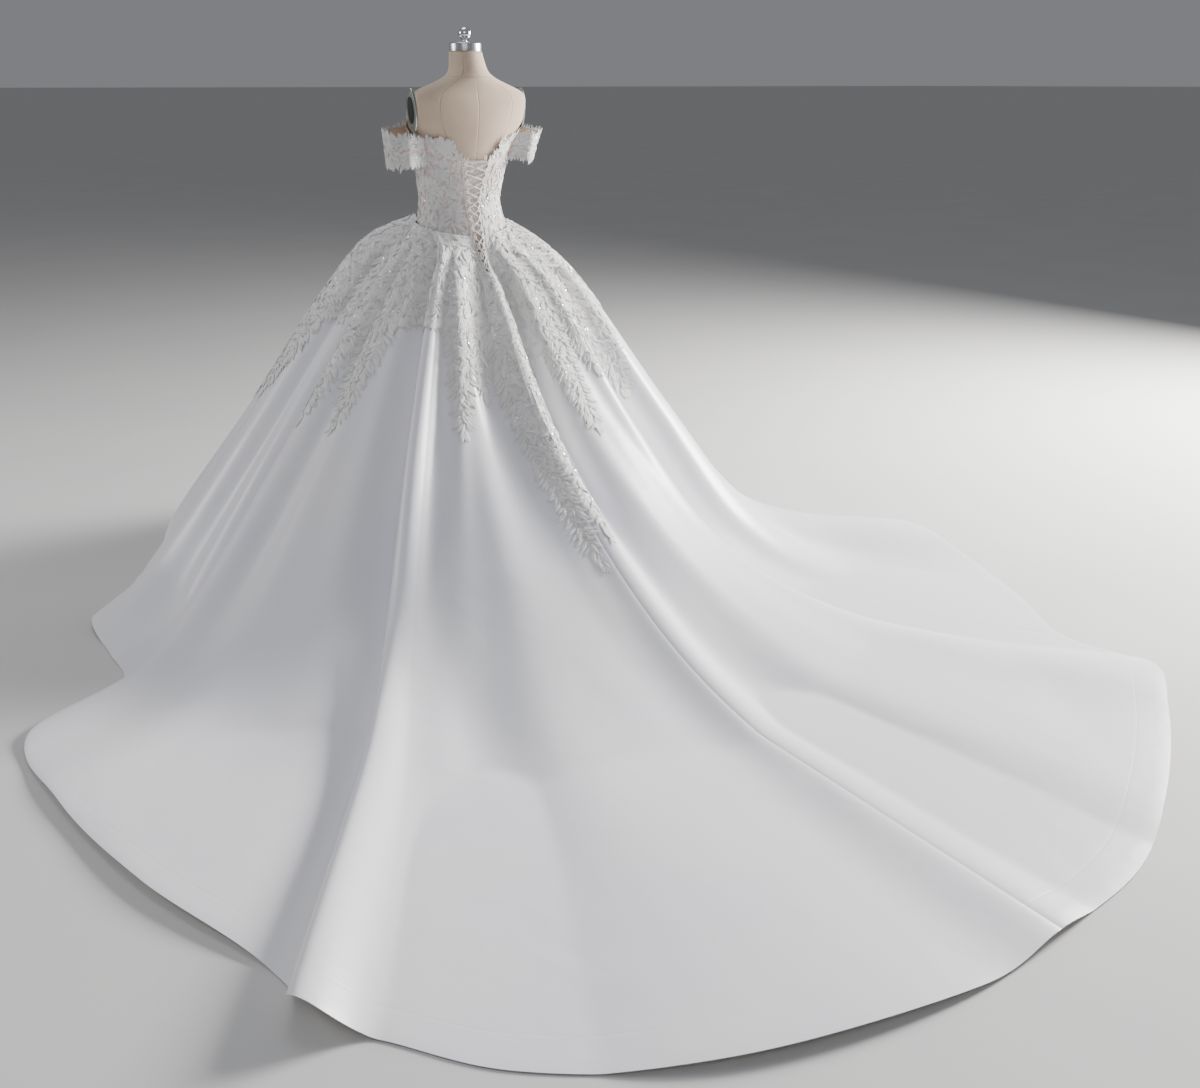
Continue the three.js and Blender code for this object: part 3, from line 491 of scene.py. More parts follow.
# %% Group: slow drift between two tones
tone_drift, given, result = node_group(
    "tone_drift",
    [("Place", "vector", None), ("Tone", "colour", (1, 1, 1, 1)), ("Other tone", "colour", (0.9, 0.9, 0.9, 1)),
     ("Scale", "number", 3), ("Roughness", "number", 0.5), ("Roughness change", "number", 0.1)],
    [("Colour", "colour"), ("Roughness", "number")],
)
noise = add_node(tone_drift, "TexNoise", {"Vector": given["Place"], "Scale": given["Scale"], "Detail": 3.0})
mask = add_node(tone_drift, "MapRange", {"Value": noise["Fac"], "From Min": 0.3, "From Max": 0.7})["Result"]
blend = add_node(tone_drift, "Mix", {0: mask, 6: given["Tone"], 7: given["Other tone"]}, data_type="RGBA")
tone_drift.links.new(blend[2], result["Colour"])
centred = arithmetic(tone_drift, "SUBTRACT", mask, 0.5)
change = arithmetic(tone_drift, "MULTIPLY", centred, given["Roughness change"])
tone_drift.links.new(arithmetic(tone_drift, "ADD", change, given["Roughness"]), result["Roughness"])

# %% Group: threads that cross
weave, given, result = node_group(
    "weave",
    [("Place", "vector", None), ("Threads per metre", "number", 700), ("Fuzz", "number", 0.3)],
    [("Height", "number")],
)
scaled = add_node(weave, "VectorMath", {0: given["Place"], 3: given["Threads per metre"]}, operation="SCALE")[0]
axes = add_node(weave, "SeparateXYZ", {0: scaled})
level = arithmetic(weave, "ADD", axes["X"], axes["Y"])
warp = arithmetic(weave, "SINE", arithmetic(weave, "MULTIPLY", level, math.pi))
weft = arithmetic(weave, "SINE", arithmetic(weave, "MULTIPLY", axes["Z"], math.pi))
crossed = arithmetic(weave, "MAXIMUM", arithmetic(weave, "ABSOLUTE", warp), arithmetic(weave, "ABSOLUTE", weft))
fuzz = add_node(weave, "TexNoise", {"Vector": scaled, "Scale": 0.6, "Detail": 2.0})["Fac"]
fuzz = arithmetic(weave, "MULTIPLY", fuzz, given["Fuzz"])
weave.links.new(arithmetic(weave, "ADD", crossed, fuzz), result["Height"])

# %% Group: a sewn line across the cut
sewn_line, given, result = node_group(
    "sewn_line",
    [("Across", "number", 0), ("Place", "number", 0.985), ("Half width", "number", 0.003)],
    [("Line", "number")],
)
away = arithmetic(sewn_line, "ABSOLUTE", arithmetic(sewn_line, "SUBTRACT", given["Across"], given["Place"]))
share = arithmetic(sewn_line, "DIVIDE", away, given["Half width"])
sewn_line.links.new(arithmetic(sewn_line, "SUBTRACT", 1.0, share, clamp=True), result["Line"])


# %% [markdown]
# ## Cloth materials
# Satin shines because its long threads lie side by side, so it gets a low, uneven roughness and only a trace of
# weave. Corded lace is matt. The lining is the soft blush that shows through the bodice's lace.


# %% Start a material
def new_material(name):
    material = bpy.data.materials.new(name)
    material.use_nodes = True
    tree = material.node_tree
    return material, tree, tree.nodes["Principled BSDF"].inputs


def place_in(tree, which="Object"):
    return add_node(tree, "TexCoord")[which]


def use_group(tree, group, links):
    node = tree.nodes.new("ShaderNodeGroup")
    node.node_tree = group
    return wired(tree, node, links)


def add_bump(tree, shader, height, distance, strength=1.0, under=None):
    links = {"Height": height, "Distance": distance, "Strength": strength}
    if under is not None:
        links["Normal"] = under
    normal = add_node(tree, "Bump", links)["Normal"]
    tree.links.new(normal, shader["Normal"])
    return normal


def add_threads(tree, shader, place, per_metre, fuzz, distance, strength, under=None):
    links = {"Place": place, "Threads per metre": per_metre, "Fuzz": fuzz}
    return add_bump(tree, shader, use_group(tree, weave, links)["Height"], distance, strength, under)


def tone(tree, shader, place, first, second, scale, roughness, change):
    drift = use_group(tree, tone_drift, {
        "Place": place, "Tone": (*first, 1), "Other tone": (*second, 1), "Scale": scale,
        "Roughness": roughness, "Roughness change": change,
    })
    tree.links.new(drift["Colour"], shader["Base Color"])
    tree.links.new(drift["Roughness"], shader["Roughness"])
    return drift


# %% Satin and its facing
satin, tree, shader = new_material("satin")
place = place_in(tree)
tone(tree, shader, place, (0.835, 0.825, 0.85), (0.78, 0.78, 0.84), 2.2, 0.33, 0.1)
shader["Sheen Weight"].default_value = 0.15
shader["Sheen Roughness"].default_value = 0.4
shader["Specular IOR Level"].default_value = 0.55
cut = add_node(tree, "SeparateXYZ", {0: place_in(tree, "UV")})
hem = use_group(tree, sewn_line, {"Across": cut["Y"], "Place": 0.985, "Half width": 0.0008})["Line"]
wrinkle = add_node(tree, "TexNoise", {"Vector": place, "Scale": 7.0, "Detail": 2.0, "Distortion": 0.6})["Fac"]
soft = add_bump(tree, shader, wrinkle, 0.006, 0.3)
fine = add_threads(tree, shader, place, 900.0, 0.5, 0.00004, 0.5, soft)
add_bump(tree, shader, arithmetic(tree, "MULTIPLY", hem, -1.0), 0.0005, 0.3, fine)

facing, tree, shader = new_material("cream_facing")
place = place_in(tree)
tone(tree, shader, place, (0.80, 0.75, 0.66), (0.74, 0.68, 0.58), 5.0, 0.75, 0.1)
add_threads(tree, shader, place, 600.0, 0.6, 0.0002, 0.6)
print("satin and its facing:", satin.name, facing.name)

# %% [markdown]
# The lace's leaves have their own UV map, so a raised midrib runs along each one and its veins slant to the
# sides. The net is a fine cell pattern that opens its alpha, with small filled sprigs between the leaves.

# %% Lace leaves with a midrib and fine cording
lace_leaf, tree, shader = new_material("lace_leaf")
place = place_in(tree)
leaf = add_node(tree, "SeparateXYZ", {0: place_in(tree, "UV")})
drift = tone(tree, shader, place, (0.93, 0.915, 0.885), (0.86, 0.845, 0.82), 40.0, 0.5, 0.2)
rib = use_group(tree, sewn_line, {"Across": leaf["X"], "Place": 0.5, "Half width": 0.16})["Line"]
shade = add_node(tree, "Mix", {0: rib, 6: drift["Colour"], 7: (0.97, 0.96, 0.94, 1)}, data_type="RGBA")[2]
tree.links.new(shade, shader["Base Color"])
side = arithmetic(tree, "ABSOLUTE", arithmetic(tree, "SUBTRACT", leaf["X"], 0.5))
slanted = arithmetic(tree, "SUBTRACT", leaf["Y"], side)
vein = arithmetic(tree, "SINE", arithmetic(tree, "MULTIPLY", slanted, 60.0))
veined = add_bump(tree, shader, vein, 0.0004, 0.6)
add_bump(tree, shader, rib, 0.0009, 0.8, veined)
shader["Sheen Weight"].default_value = 0.25

# %% Net ground of the skirt's lace
lace_net, tree, shader = new_material("lace_net")
place = place_in(tree)
tone(tree, shader, place, (0.88, 0.87, 0.845), (0.82, 0.81, 0.79), 25.0, 0.7, 0.1)
cells = add_node(tree, "TexVoronoi", {"Vector": place, "Scale": 330.0}, feature="DISTANCE_TO_EDGE")["Distance"]
mesh_mask = add_node(tree, "MapRange", {"Value": cells, "From Min": 0.14, "From Max": 0.04})["Result"]
sprig = add_node(tree, "TexVoronoi", {"Vector": place, "Scale": 75.0}, feature="SMOOTH_F1")["Distance"]
filled = add_node(tree, "MapRange", {"Value": sprig, "From Min": 0.52, "From Max": 0.36})["Result"]
tree.links.new(arithmetic(tree, "MAXIMUM", mesh_mask, filled, clamp=True), shader["Alpha"])
add_bump(tree, shader, filled, 0.0006, 0.5)
print("lace materials:", lace_leaf.name, lace_net.name)

# %% [markdown]
# The bodice is lined in blush, which shows in the gaps of a pale lace ground. Inside, the lining is plain and
# darker. The cord and the loops are cut from satin on the bias, so their threads are finer.

# %% Blush lining under a lace ground
blush, tree, shader = new_material("blush_lining")
place = place_in(tree)
drift = tone(tree, shader, place, (0.70, 0.56, 0.51), (0.62, 0.485, 0.44), 18.0, 0.75, 0.1)
sprig = add_node(tree, "TexVoronoi", {"Vector": place, "Scale": 95.0}, feature="SMOOTH_F1")["Distance"]
filled = add_node(tree, "MapRange", {"Value": sprig, "From Min": 0.5, "From Max": 0.2})["Result"]
white = add_node(tree, "Mix", {0: filled, 6: drift["Colour"], 7: (0.84, 0.79, 0.76, 1)}, data_type="RGBA")[2]
tree.links.new(white, shader["Base Color"])
add_bump(tree, shader, filled, 0.0006, 0.6)
shader["Sheen Weight"].default_value = 0.1

# %% Plain nude lining, cord, sequins and beads
nude, tree, shader = new_material("nude_lining")
place = place_in(tree)
tone(tree, shader, place, (0.60, 0.44, 0.32), (0.53, 0.385, 0.28), 16.0, 0.7, 0.1)
add_threads(tree, shader, place, 700.0, 0.5, 0.0002, 0.5)

cord_satin, tree, shader = new_material("cord_satin")
place = place_in(tree)
tone(tree, shader, place, (0.86, 0.85, 0.83), (0.79, 0.78, 0.76), 60.0, 0.45, 0.1)
add_threads(tree, shader, place, 1400.0, 0.4, 0.0002, 0.6)

sequin, tree, shader = new_material("sequin")
tone(tree, shader, place_in(tree), (0.95, 0.95, 0.98), (0.86, 0.88, 0.94), 300.0, 0.16, 0.12)
shader["Metallic"].default_value = 0.3
bead, tree, shader = new_material("bead")
tone(tree, shader, place_in(tree), (0.93, 0.92, 0.9), (0.84, 0.83, 0.82), 200.0, 0.2, 0.1)
shader["Coat Weight"].default_value = 0.6
print("cloth materials:", len(bpy.data.materials))

# %% [markdown]
# ## Satin panels of the skirt
# A ball skirt is cut in panels that are seamed from waist to hem, with a centre-back seam below the lacing. A
# thin wall keeps the white satin outside and its cream facing inside, which shows where the hem lifts off the
# floor.

# %% Skirt panels
SKIRT_PANELS = [  # name, first line, last line, columns a line, the cut's waist, hem and length in metres
    ("skirt_back_left", 0, 6, 18, 0.10, 1.55, 2.60),
    ("skirt_side_back_left", 6, 10, 18, 0.10, 1.05, 2.20),
    ("skirt_side_front_left", 10, 15, 16, 0.15, 0.95, 1.60),
    ("skirt_front", 15, 21, 14, 0.35, 1.55, 1.25),
    ("skirt_side_front_right", 21, 26, 16, 0.15, 0.92, 1.50),
    ("skirt_side_back_right", 26, 30, 18, 0.10, 0.98, 2.00),
    ("skirt_back_right", 30, 35, 18, 0.10, 1.35, 2.60),
]
SKIRT_ROWS = 150
SEAM_HALF = 0.04
SATIN_WALL = 1.8


def edge_places(first, last, share):
    """Where a panel's two edges lie at a share of the length, a seam's gap from its neighbours."""
    edges = []
    for line, side in ((first, 1), (last, -1)):
        step = 0.02
        here = skirt_base(np.full_like(share, line), share)
        beside = skirt_base(np.full_like(share, line + side * step), share)
        width = np.linalg.norm(beside - here, axis=-1) / step
        half = np.full_like(share, SEAM_HALF)
        if line % LINES == 0:
            half = smooth_value(LACED_OPENING, 1, here[..., 2])
        edges.append(line + side * half / width)
    return edges


def panel_surface(first, last, out, top=lambda place: 0.0, bottom=lambda place: 1.0):
    def surface(u, v):
        rough_place = mix(first, last, u)
        share = mix(top(rough_place), bottom(rough_place), v)
        start, end = edge_places(first, last, share)
        return skirt_surface(mix(start, end, u), share, out)
    return surface


for name, first, last, fineness, waist, hem, length in SKIRT_PANELS:
    surface = panel_surface(first, last, SATIN)
    columns = (last - first) * fineness
    piece = laid_grid(name + "_satin", surface, columns, SKIRT_ROWS, [satin, facing], SATIN_WALL)
    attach(piece, "root")
    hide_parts(name)
print("skirt panels:", len(SKIRT_PANELS))

# %% [markdown]
# ## Leaf lace
# Corded lace is a net ground with small padded leaves sewn on it. One leaf is modelled with a raised midrib
# and copied, and each copy is laid on the cloth in its own direction, so that it follows the folds. Leaves
# spring to both sides of an unseen stem, as on a frond.

# %% One leaf, one flat sequin and one bead
LEAF_COLUMNS, LEAF_ROWS = 2, 5
LEAF_STALK, LEAF_CROWN = 0.12, 0.75  # least width, and how much lower the edges lie than the midrib
LEAF_SLIM, LEAF_WIDE = 0.24, 0.34  # widths as shares of the length
LEAF_LIFTS, LEAF_CURL, LEAF_LAYERS = (1.0, 2.2), 3.2, 1.3


def template(name, make):
    shape = bmesh.new()
    shape.loops.layers.uv.new("cut")
    make(shape)
    return finished_mesh(shape, name)


leaf_template = template("leaf", lambda shape: bmesh.ops.create_grid(
    shape, x_segments=LEAF_COLUMNS, y_segments=LEAF_ROWS, size=0.5, calc_uvs=True))
sequin_template = template("sequin", lambda shape: bmesh.ops.create_circle(
    shape, cap_ends=True, segments=6, radius=1, calc_uvs=True))
bead_template = template("bead", lambda shape: bmesh.ops.create_icosphere(
    shape, subdivisions=1, radius=1, calc_uvs=True))


def copies(small, count):
    """A mesh with that many copies of a small one, one after another."""
    shape = bmesh.new()
    block = small.copy()
    while count:
        if count & 1:
            shape.from_mesh(block)
        count >>= 1
        if count:
            double = bmesh.new()
            double.from_mesh(block)
            double.from_mesh(block)
            double.to_mesh(block)
            double.free()
    bpy.data.meshes.remove(block)
    return finished_mesh(shape, small.name + "_copies")


def leaf_form(length, width, lift, curl):
    """Points of one leaf for each row of sizes: across it, along it and off the cloth."""
    at = coordinates(leaf_template)
    u, v = 2 * at[:, 0], at[:, 1] + 0.5
    outline = np.sin(math.pi * np.clip(v, 0, 1) ** 0.8) ** 0.85
    outline = np.where(v > 0.99, 0.0, np.maximum(outline, LEAF_STALK))
    across = width[:, None] * 0.5 * u * outline
    along = length[:, None] * v
    crown = (1 - LEAF_CROWN * np.abs(u)) * (0.35 + 0.65 * outline)
    return across, along, lift[:, None] * crown + curl[:, None] * v**2


def small_steps(surface, u, v, step):
    across = (surface(u + step[0], v) - surface(u - step[0], v)) / (2 * step[0])
    along = (surface(u, v + step[1]) - surface(u, v - step[1])) / (2 * step[1])
    return across, along


def lay_flat(surface, u, v, turn, across, along, off, step):
    """Points given in a little flat frame at (u, v), turned on the cloth, are laid on the surface."""
    round_it, down = small_steps(surface, u, v, step)
    reach_down = np.linalg.norm(down, axis=-1)
    slant = (round_it * down).sum(-1) / reach_down
    reach_round = np.sqrt(np.maximum((round_it**2).sum(-1) - slant**2, 1e-6))
    s, c = np.sin(turn)[:, None], np.cos(turn)[:, None]
    x = across * c + along * s
    y = along * c - across * s
    step_u = x / reach_round[:, None]
    step_v = (y - slant[:, None] * step_u) / reach_down[:, None]
    return surface(u[:, None] + step_u, v[:, None] + step_v, off)


def leaves_on(name, surface, step, fronds, layer, rng):
    """Leaves at places of a surface, with their turns and lengths. A turn of 0 points the way v grows."""
    u, v, turn, size = (np.concatenate(parts) for parts in zip(*fronds))
    count = len(u)
    mesh = copies(leaf_template, count)
    lift = rng.uniform(*LEAF_LIFTS, count)
    curl = rng.uniform(-0.1, 1.0, count) ** 2 * LEAF_CURL
    across, along, off = leaf_form(size, size * rng.uniform(LEAF_SLIM, LEAF_WIDE, count), lift, curl)
    off = off + layer + rng.uniform(0, LEAF_LAYERS, count)[:, None]
    move_points(mesh, lay_flat(surface, u, v, turn, across, along, off, step))
    print(name, count)
    return to_object(name + "_leaves", mesh, [lace_leaf])


TRIMS = {  # shape, material, tilt either way
    "sequins": (sequin_template, sequin, 0.5),
    "beads": (bead_template, bead, 0.0),
}


def trims_on(name, kind, surface, step, places, radii, out, rng):
    """Sequins or beads at places of a surface, of sizes between two radii."""
    small, material, tilts = TRIMS[kind]
    u, v = places
    radius = rng.uniform(*radii, len(u))[:, None]
    tilt = rng.uniform(-1, 1, (len(u), 2)) * tilts
    at = coordinates(small)
    mesh = copies(small, len(u))
    across, along = radius * at[:, 0], radius * at[:, 1]
    off = out + radius * at[:, 2] + tilt[:, :1] * across + tilt[:, 1:] * along
    move_points(mesh, lay_flat(surface, u, v, 0 * u, across, along, off, step))
    return to_object(f"{name}_{kind}", mesh, [material])


print("leaf faces:", len(leaf_template.polygons))

# %% [markdown]
# A yoke of lace goes all the way round below the waist. Fingers of it run down from there, and each is as wide
# as its half width at the yoke and closes in a curve to its tip, as it leans with the folds.

# %% Where the skirt's lace ends
FINGERS = [  # place, level of the tip, half width, lean
    (0.56, 9.2, 0.5, -0.35),
    (1.6, 6.2, 0.24, 0),
    (2.6, 6.8, 0.55, 0),
    (7.7, 6.7, 0.45, 0.2),
    (8.8, 6.6, 0.4, 0.2),
    (12, 6.4, 0.6, 0),
    (14, 6.6, 0.5, 0),
    (16.3, 6.3, 0.45, 0),
    (18, 7.2, 0.7, 0),
    (19.5, 6.4, 0.5, 0),
    (22, 6.6, 0.5, 0),
    (24, 6.4, 0.6, 0),
    (27.6, 6.6, 0.5, 0),
    (29.3, 6.6, 0.42, 0.2),
    (31.6, 6, 0.34, 0.1),
    (32.8, 7, 0.5, 0),
    (34.4, 8.8, 0.54, 0.35),
]
YOKE_LEVEL = 4.8
LACE_TOP, LACE_LOWEST = 0.008, 0.64  # shares of the skirt's length
LACE_TRIES = 26000
CLEAR_OF_LACING, CLEAR_OF_SEAM = 0.5, 0.03  # lines left free of leaves


def share_of(level):
    """The share of the skirt's length at a level of the solids."""
    starts = np.concatenate([[0], np.cumsum(LEVELS_PER_SPAN)])
    return np.interp(level, starts, np.arange(len(starts)) / len(LEVELS_PER_SPAN))


YOKE_SHARE = float(share_of(YOKE_LEVEL))


def finger_half(half_width, t):
    return half_width * (1 - t**1.5)


def lace_end(place):
    """The share at which the lace ends below a place."""
    end = np.full(np.shape(place), YOKE_SHARE)
    for at, tip, half_width, lean in FINGERS:
        for t in np.linspace(0, 1, 40):
            beside = np.abs((place - at - lean * t + LINES / 2) % LINES - LINES / 2)
            inside = beside < finger_half(half_width, t)
            end = np.where(inside, np.maximum(end, share_of(mix(YOKE_LEVEL, tip, t))), end)
    return end


def skirt_outer(place, share, out=0.0):
    return skirt_surface(place, np.clip(share, 0.0, 1.0), SATIN + out)


SKIRT_STEP = (0.03, 0.002)
LEAVES_PER_SQUARE_METRE, SEQUINS_PER_SQUARE_METRE, BEADS_PER_SQUARE_METRE = 5600, 2600, 1500
LACED_SHARE = 0.27


def lace_places(first, last, density, rng, margin=0.0):
    """Random places within a panel's lace, as dense as wanted for each square metre of cloth."""
    place = rng.uniform(first, last, LACE_TRIES)
    share = rng.uniform(LACE_TOP, LACE_LOWEST, LACE_TRIES)
    round_it, down = small_steps(skirt_outer, place, share, SKIRT_STEP)
    area = np.linalg.norm(np.cross(round_it, down), axis=-1) * 1e-6
    total = (last - first) * (LACE_LOWEST - LACE_TOP)
    chance = density * area * total / LACE_TRIES
    start, end = edge_places(first, last, share)
    beside_lacing = np.where(share < LACED_SHARE, CLEAR_OF_LACING, CLEAR_OF_SEAM)
    start = start + (beside_lacing if first == 0 else CLEAR_OF_SEAM)
    end = end - (beside_lacing if last == LINES else CLEAR_OF_SEAM)
    inside = (share < lace_end(place) - margin) & (place > start) & (place < end)
    keep = inside & (rng.uniform(size=LACE_TRIES) < chance)
    return place[keep], share[keep]


print("yoke ends at a share of", round(YOKE_SHARE, 3))


# %% Lace on the skirt
STEM_SWAYS = [  # angle, waves for each line, waves down
    (0.5, 2.2, 9),
    (0.35, 5.1, -15),
]
STEM_SHARE, SIDE_TURN, SIDE_SPREAD, CALM_WIDTH, LEAST_TURN = 0.7, 0.6, 0.22, 0.8, 0.05
SKIRT_LEAF, EDGE_LEAF, FINGER_SHARE = (26, 46), (28, 44), 0.9  # lengths, and how much shorter on the fingers
EDGE_LEAVES_PER_LINE, EDGE_INSET, TIP_FROM = 15, 0.9, 0.93


def frond_turn(place, share, rng):
    """Leaves point down the skirt, to both sides of stems that sway, and straight down beside the lacing."""
    sway = sum(angle * np.sin(round_it * place + down * share) for angle, round_it, down in STEM_SWAYS)
    side = rng.choice([-1, 1], len(place)) * rng.normal(SIDE_TURN, SIDE_SPREAD, len(place))
    from_middle = np.minimum(place, LINES - place)
    calm = np.clip((from_middle - CALM_WIDTH) / CALM_WIDTH, LEAST_TURN, 1)
    return (sway * STEM_SHARE + side) * np.where(share < LACED_SHARE, calm, 1)


def frond_edges(first, last, rng):
    """Leaves that stand out from the edges of the fingers and from the yoke's lower edge."""
    place = rng.uniform(first + 0.1, last - 0.1, EDGE_LEAVES_PER_LINE * (last - first))
    share = np.full(len(place), YOKE_SHARE - 0.006)
    turn = rng.choice([-1, 1], len(place)) * rng.uniform(0.1, 0.6, len(place))
    lists = [(place, share, turn)]
    for at, tip, half_width, lean in FINGERS:
        if first < at < last:
            t = np.linspace(0.02, 1, int(5 + 11 * (tip - YOKE_LEVEL)))
            for side in (-1, 1):
                edge = at + lean * t + side * finger_half(half_width, t) * EDGE_INSET
                out = side * rng.uniform(0.45, 1.0, len(t)) * np.where(t > TIP_FROM, 0.3, 1.0)
                lists.append((edge, share_of(mix(YOKE_LEVEL, tip, t)) - 0.004, out))
    place, share, turn = (np.concatenate(parts) for parts in zip(*lists))
    keep = (place > first + 0.05) & (place < last - 0.05)
    size = rng.uniform(*EDGE_LEAF, int(keep.sum()))
    return place[keep], share[keep], turn[keep], size


NET_OUT, NET_SHORT, NET_COLUMNS, NET_ROWS, TRIM_MARGIN = 0.5, 0.008, 16, 40, 0.01
SKIRT_OUT = {"leaves": 0.8, "sequins": 3.6, "beads": 3.4}  # distances off the satin
for order, (name, first, last, *_) in enumerate(SKIRT_PANELS):
    rng = np.random.default_rng(40 + order)
    node = name.replace("skirt", "skirt_lace")
    ground = panel_surface(first, last, SATIN + NET_OUT, lambda place: LACE_TOP,
                           lambda place: lace_end(place) - NET_SHORT)
    net = laid_grid(node + "_net", ground, (last - first) * NET_COLUMNS, NET_ROWS, [lace_net])
    place, share = lace_places(first, last, LEAVES_PER_SQUARE_METRE, rng)
    size = rng.uniform(*SKIRT_LEAF, len(place)) * np.where(share > YOKE_SHARE, FINGER_SHARE, 1.0)
    fronds = [(place, share, frond_turn(place, share, rng), size), frond_edges(first, last, rng)]
    leaves = leaves_on(node, skirt_outer, SKIRT_STEP, fronds, SKIRT_OUT["leaves"], rng)
    places = lace_places(first, last, SEQUINS_PER_SQUARE_METRE, rng, TRIM_MARGIN)
    sequins = trims_on(node, "sequins", skirt_outer, SKIRT_STEP, places, (1.3, 2.1), SKIRT_OUT["sequins"], rng)
    places = lace_places(first, last, BEADS_PER_SQUARE_METRE, rng, TRIM_MARGIN)
    beads = trims_on(node, "beads", skirt_outer, SKIRT_STEP, places, (1.1, 1.7), SKIRT_OUT["beads"], rng)
    for piece in (net, leaves, sequins, beads):
        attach(piece, "root")
    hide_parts(node)

# %% [markdown]
# ## Bodice
# The bodice is a boned, lined shell cut in three pieces. Its blush lining shows between white lace leaves that
# cover it, and larger starburst flowers sit among them. Leaf tips stand up along the neckline.

# %% Bodice shells
MID_HEIGHT = 1150


def opening_angle(z):
    return np.degrees(np.arcsin(smooth_value(LACED_OPENING, 1, z) / smooth_value(SECTIONS, 1, z)))


def right_opening(z):
    return -opening_angle(z)


def straight_up(angle):
    return lambda z: angle + 0 * z


BODICE_PIECES = [  # name, angles of its edges, columns, the cut, leaves, rim leaves, sequins, beads
    ("bodice_back_left", opening_angle, straight_up(89.92), 56, (0.17, 0.27), 400, 32, 260, 220),
    ("bodice_back_right", straight_up(-89.92), right_opening, 56, (0.17, 0.27), 400, 32, 260, 220),
    ("bodice_front", straight_up(90.08), straight_up(269.92), 110, (0.42, 0.31), 800, 60, 500, 400),
]
BODICE_ROWS = 40
LEAST_HEIGHT, MOST_HEIGHT = 1000, 1345  # between which places on the bodice are drawn
TUCKED_IN = 12  # the bodice's edge goes that far down inside the skirt


def bodice_low(angle):
    return smooth_value(WAIST_SEAM, 1, from_back(angle)) + 0.3


def bodice_high(angle):
    return smooth_value(NECKLINE, 1, from_back(angle))


def bodice_surface(start, end, out):
    def surface(u, v):
        rough = mix(start(MID_HEIGHT + 0 * u), end(MID_HEIGHT + 0 * u), u)
        z = mix(bodice_low(rough) - TUCKED_IN, bodice_high(rough), v)
        return figure_point(mix(start(z), end(z), u), z, out)
    return surface


def bodice_outer(angle, z, out=0.0):
    return figure_point(angle, z, WORN + BODICE_WALL + out)


BODICE_STEP = (0.6, 2.0)


def bodice_places(start, end, count, rng, margin=0.0):
    angle = rng.uniform(float(start(MID_HEIGHT)), float(end(MID_HEIGHT)), count)
    z = rng.uniform(LEAST_HEIGHT, MOST_HEIGHT, count)
    keep = (z > bodice_low(angle) - 2) & (z < bodice_high(angle) - margin)
    keep &= (angle > start(z) + 1.5) & (angle < end(z) - 1.5) & (from_back(angle) > opening_angle(z) + 3)
    return angle[keep], z[keep]


def starburst(angle, z, petals, length, rng):
    """A flower's centre repeated for each of its petals, with their directions and lengths."""
    turn = np.arange(petals) * 2 * math.pi / petals + rng.uniform(0, 1)
    size = length * rng.uniform(0.85, 1.1, petals)
    return np.full(petals, float(angle)), np.full(petals, float(z)), turn, size


STARBURSTS = [  # angle, height, longest petal
    (26, 1096, 30), (40, 1276, 30), (62, 1170, 26), (46, 1205, 24), (-28, 1100, 28), (-42, 1272, 28),
    (-64, 1168, 26), (110, 1150, 28), (104, 1270, 26), (-110, 1152, 28), (-105, 1268, 26), (150, 1120, 30),
    (-150, 1122, 30), (180, 1075, 30), (178, 1190, 28), (140, 1238, 26), (-140, 1240, 26),
]
WREATHS = [(12, 1.15), (8, 0.65)]  # petals of a starburst, and their length as a share of the longest
BODICE_LEAF, RIM_LEAF, RIM_DEPTH, RIM_BAND, OPENING_CALM = (20, 34), (14, 22), (4, 14), 38, 12
BODICE_OUT = {"leaves": 0.3, "sequins": 2.4, "beads": 2.2}
SMALL_SEQUIN, SMALL_BEAD = (1.1, 1.8), (1.0, 1.5)
for order, (name, start, end, columns, cut, *counts) in enumerate(BODICE_PIECES):
    leaf_count, rim_count, sequin_count, bead_count = counts
    rng = np.random.default_rng(60 + order)
    shell = laid_grid(name + "_shell", bodice_surface(start, end, WORN + BODICE_WALL), columns, BODICE_ROWS,
                      [blush, nude], BODICE_WALL - 0.3)
    angle, z = bodice_places(start, end, leaf_count, rng)
    side = rng.choice([-1, 1], len(z)) * rng.normal(0.55, 0.25, len(z))
    sway = 0.7 * np.sin(0.09 * angle + 0.03 * z) + side
    from_opening = from_back(angle) - opening_angle(z)
    sway *= np.clip((from_opening - 4) / OPENING_CALM, 0.1, 1)
    turn = np.where(z > bodice_high(angle) - RIM_BAND, 0.55 * sway, math.pi + sway)
    fronds = [(angle, z, turn, rng.uniform(*BODICE_LEAF, len(z)))]
    low, high = float(start(MID_HEIGHT)), float(end(MID_HEIGHT))
    rim = rng.uniform(low, high, rim_count)
    rim_z = bodice_high(rim) - rng.uniform(*RIM_DEPTH, rim_count)
    fronds.append((rim, rim_z, rng.normal(0, 0.45, rim_count), rng.uniform(*RIM_LEAF, rim_count)))
    for flower_angle, flower_z, petal in STARBURSTS:
        at = flower_angle % 360 if "front" in name else flower_angle
        if low + 5 < at < high - 5:
            fronds += [starburst(at, flower_z, petals, petal * share, rng) for petals, share in WREATHS]
    leaves = leaves_on(name, bodice_outer, BODICE_STEP, fronds, BODICE_OUT["leaves"], rng)
    places = bodice_places(start, end, sequin_count, rng, 6)
    sequins = trims_on(name, "sequins", bodice_outer, BODICE_STEP, places, SMALL_SEQUIN,
                       BODICE_OUT["sequins"], rng)
    places = bodice_places(start, end, bead_count, rng, 6)
    beads = trims_on(name, "beads", bodice_outer, BODICE_STEP, places, SMALL_BEAD, BODICE_OUT["beads"], rng)
    for piece in (shell, leaves, sequins, beads):
        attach(piece, "root")
    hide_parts(name)

# %% [markdown]
# ## Off-the-shoulder sleeves
# Each sleeve is a band of the same lace that goes round the empty arm from the bodice's back to its front. Its
# cut edges are the leaves themselves, so the cloth ends a little inside the leaf tips.

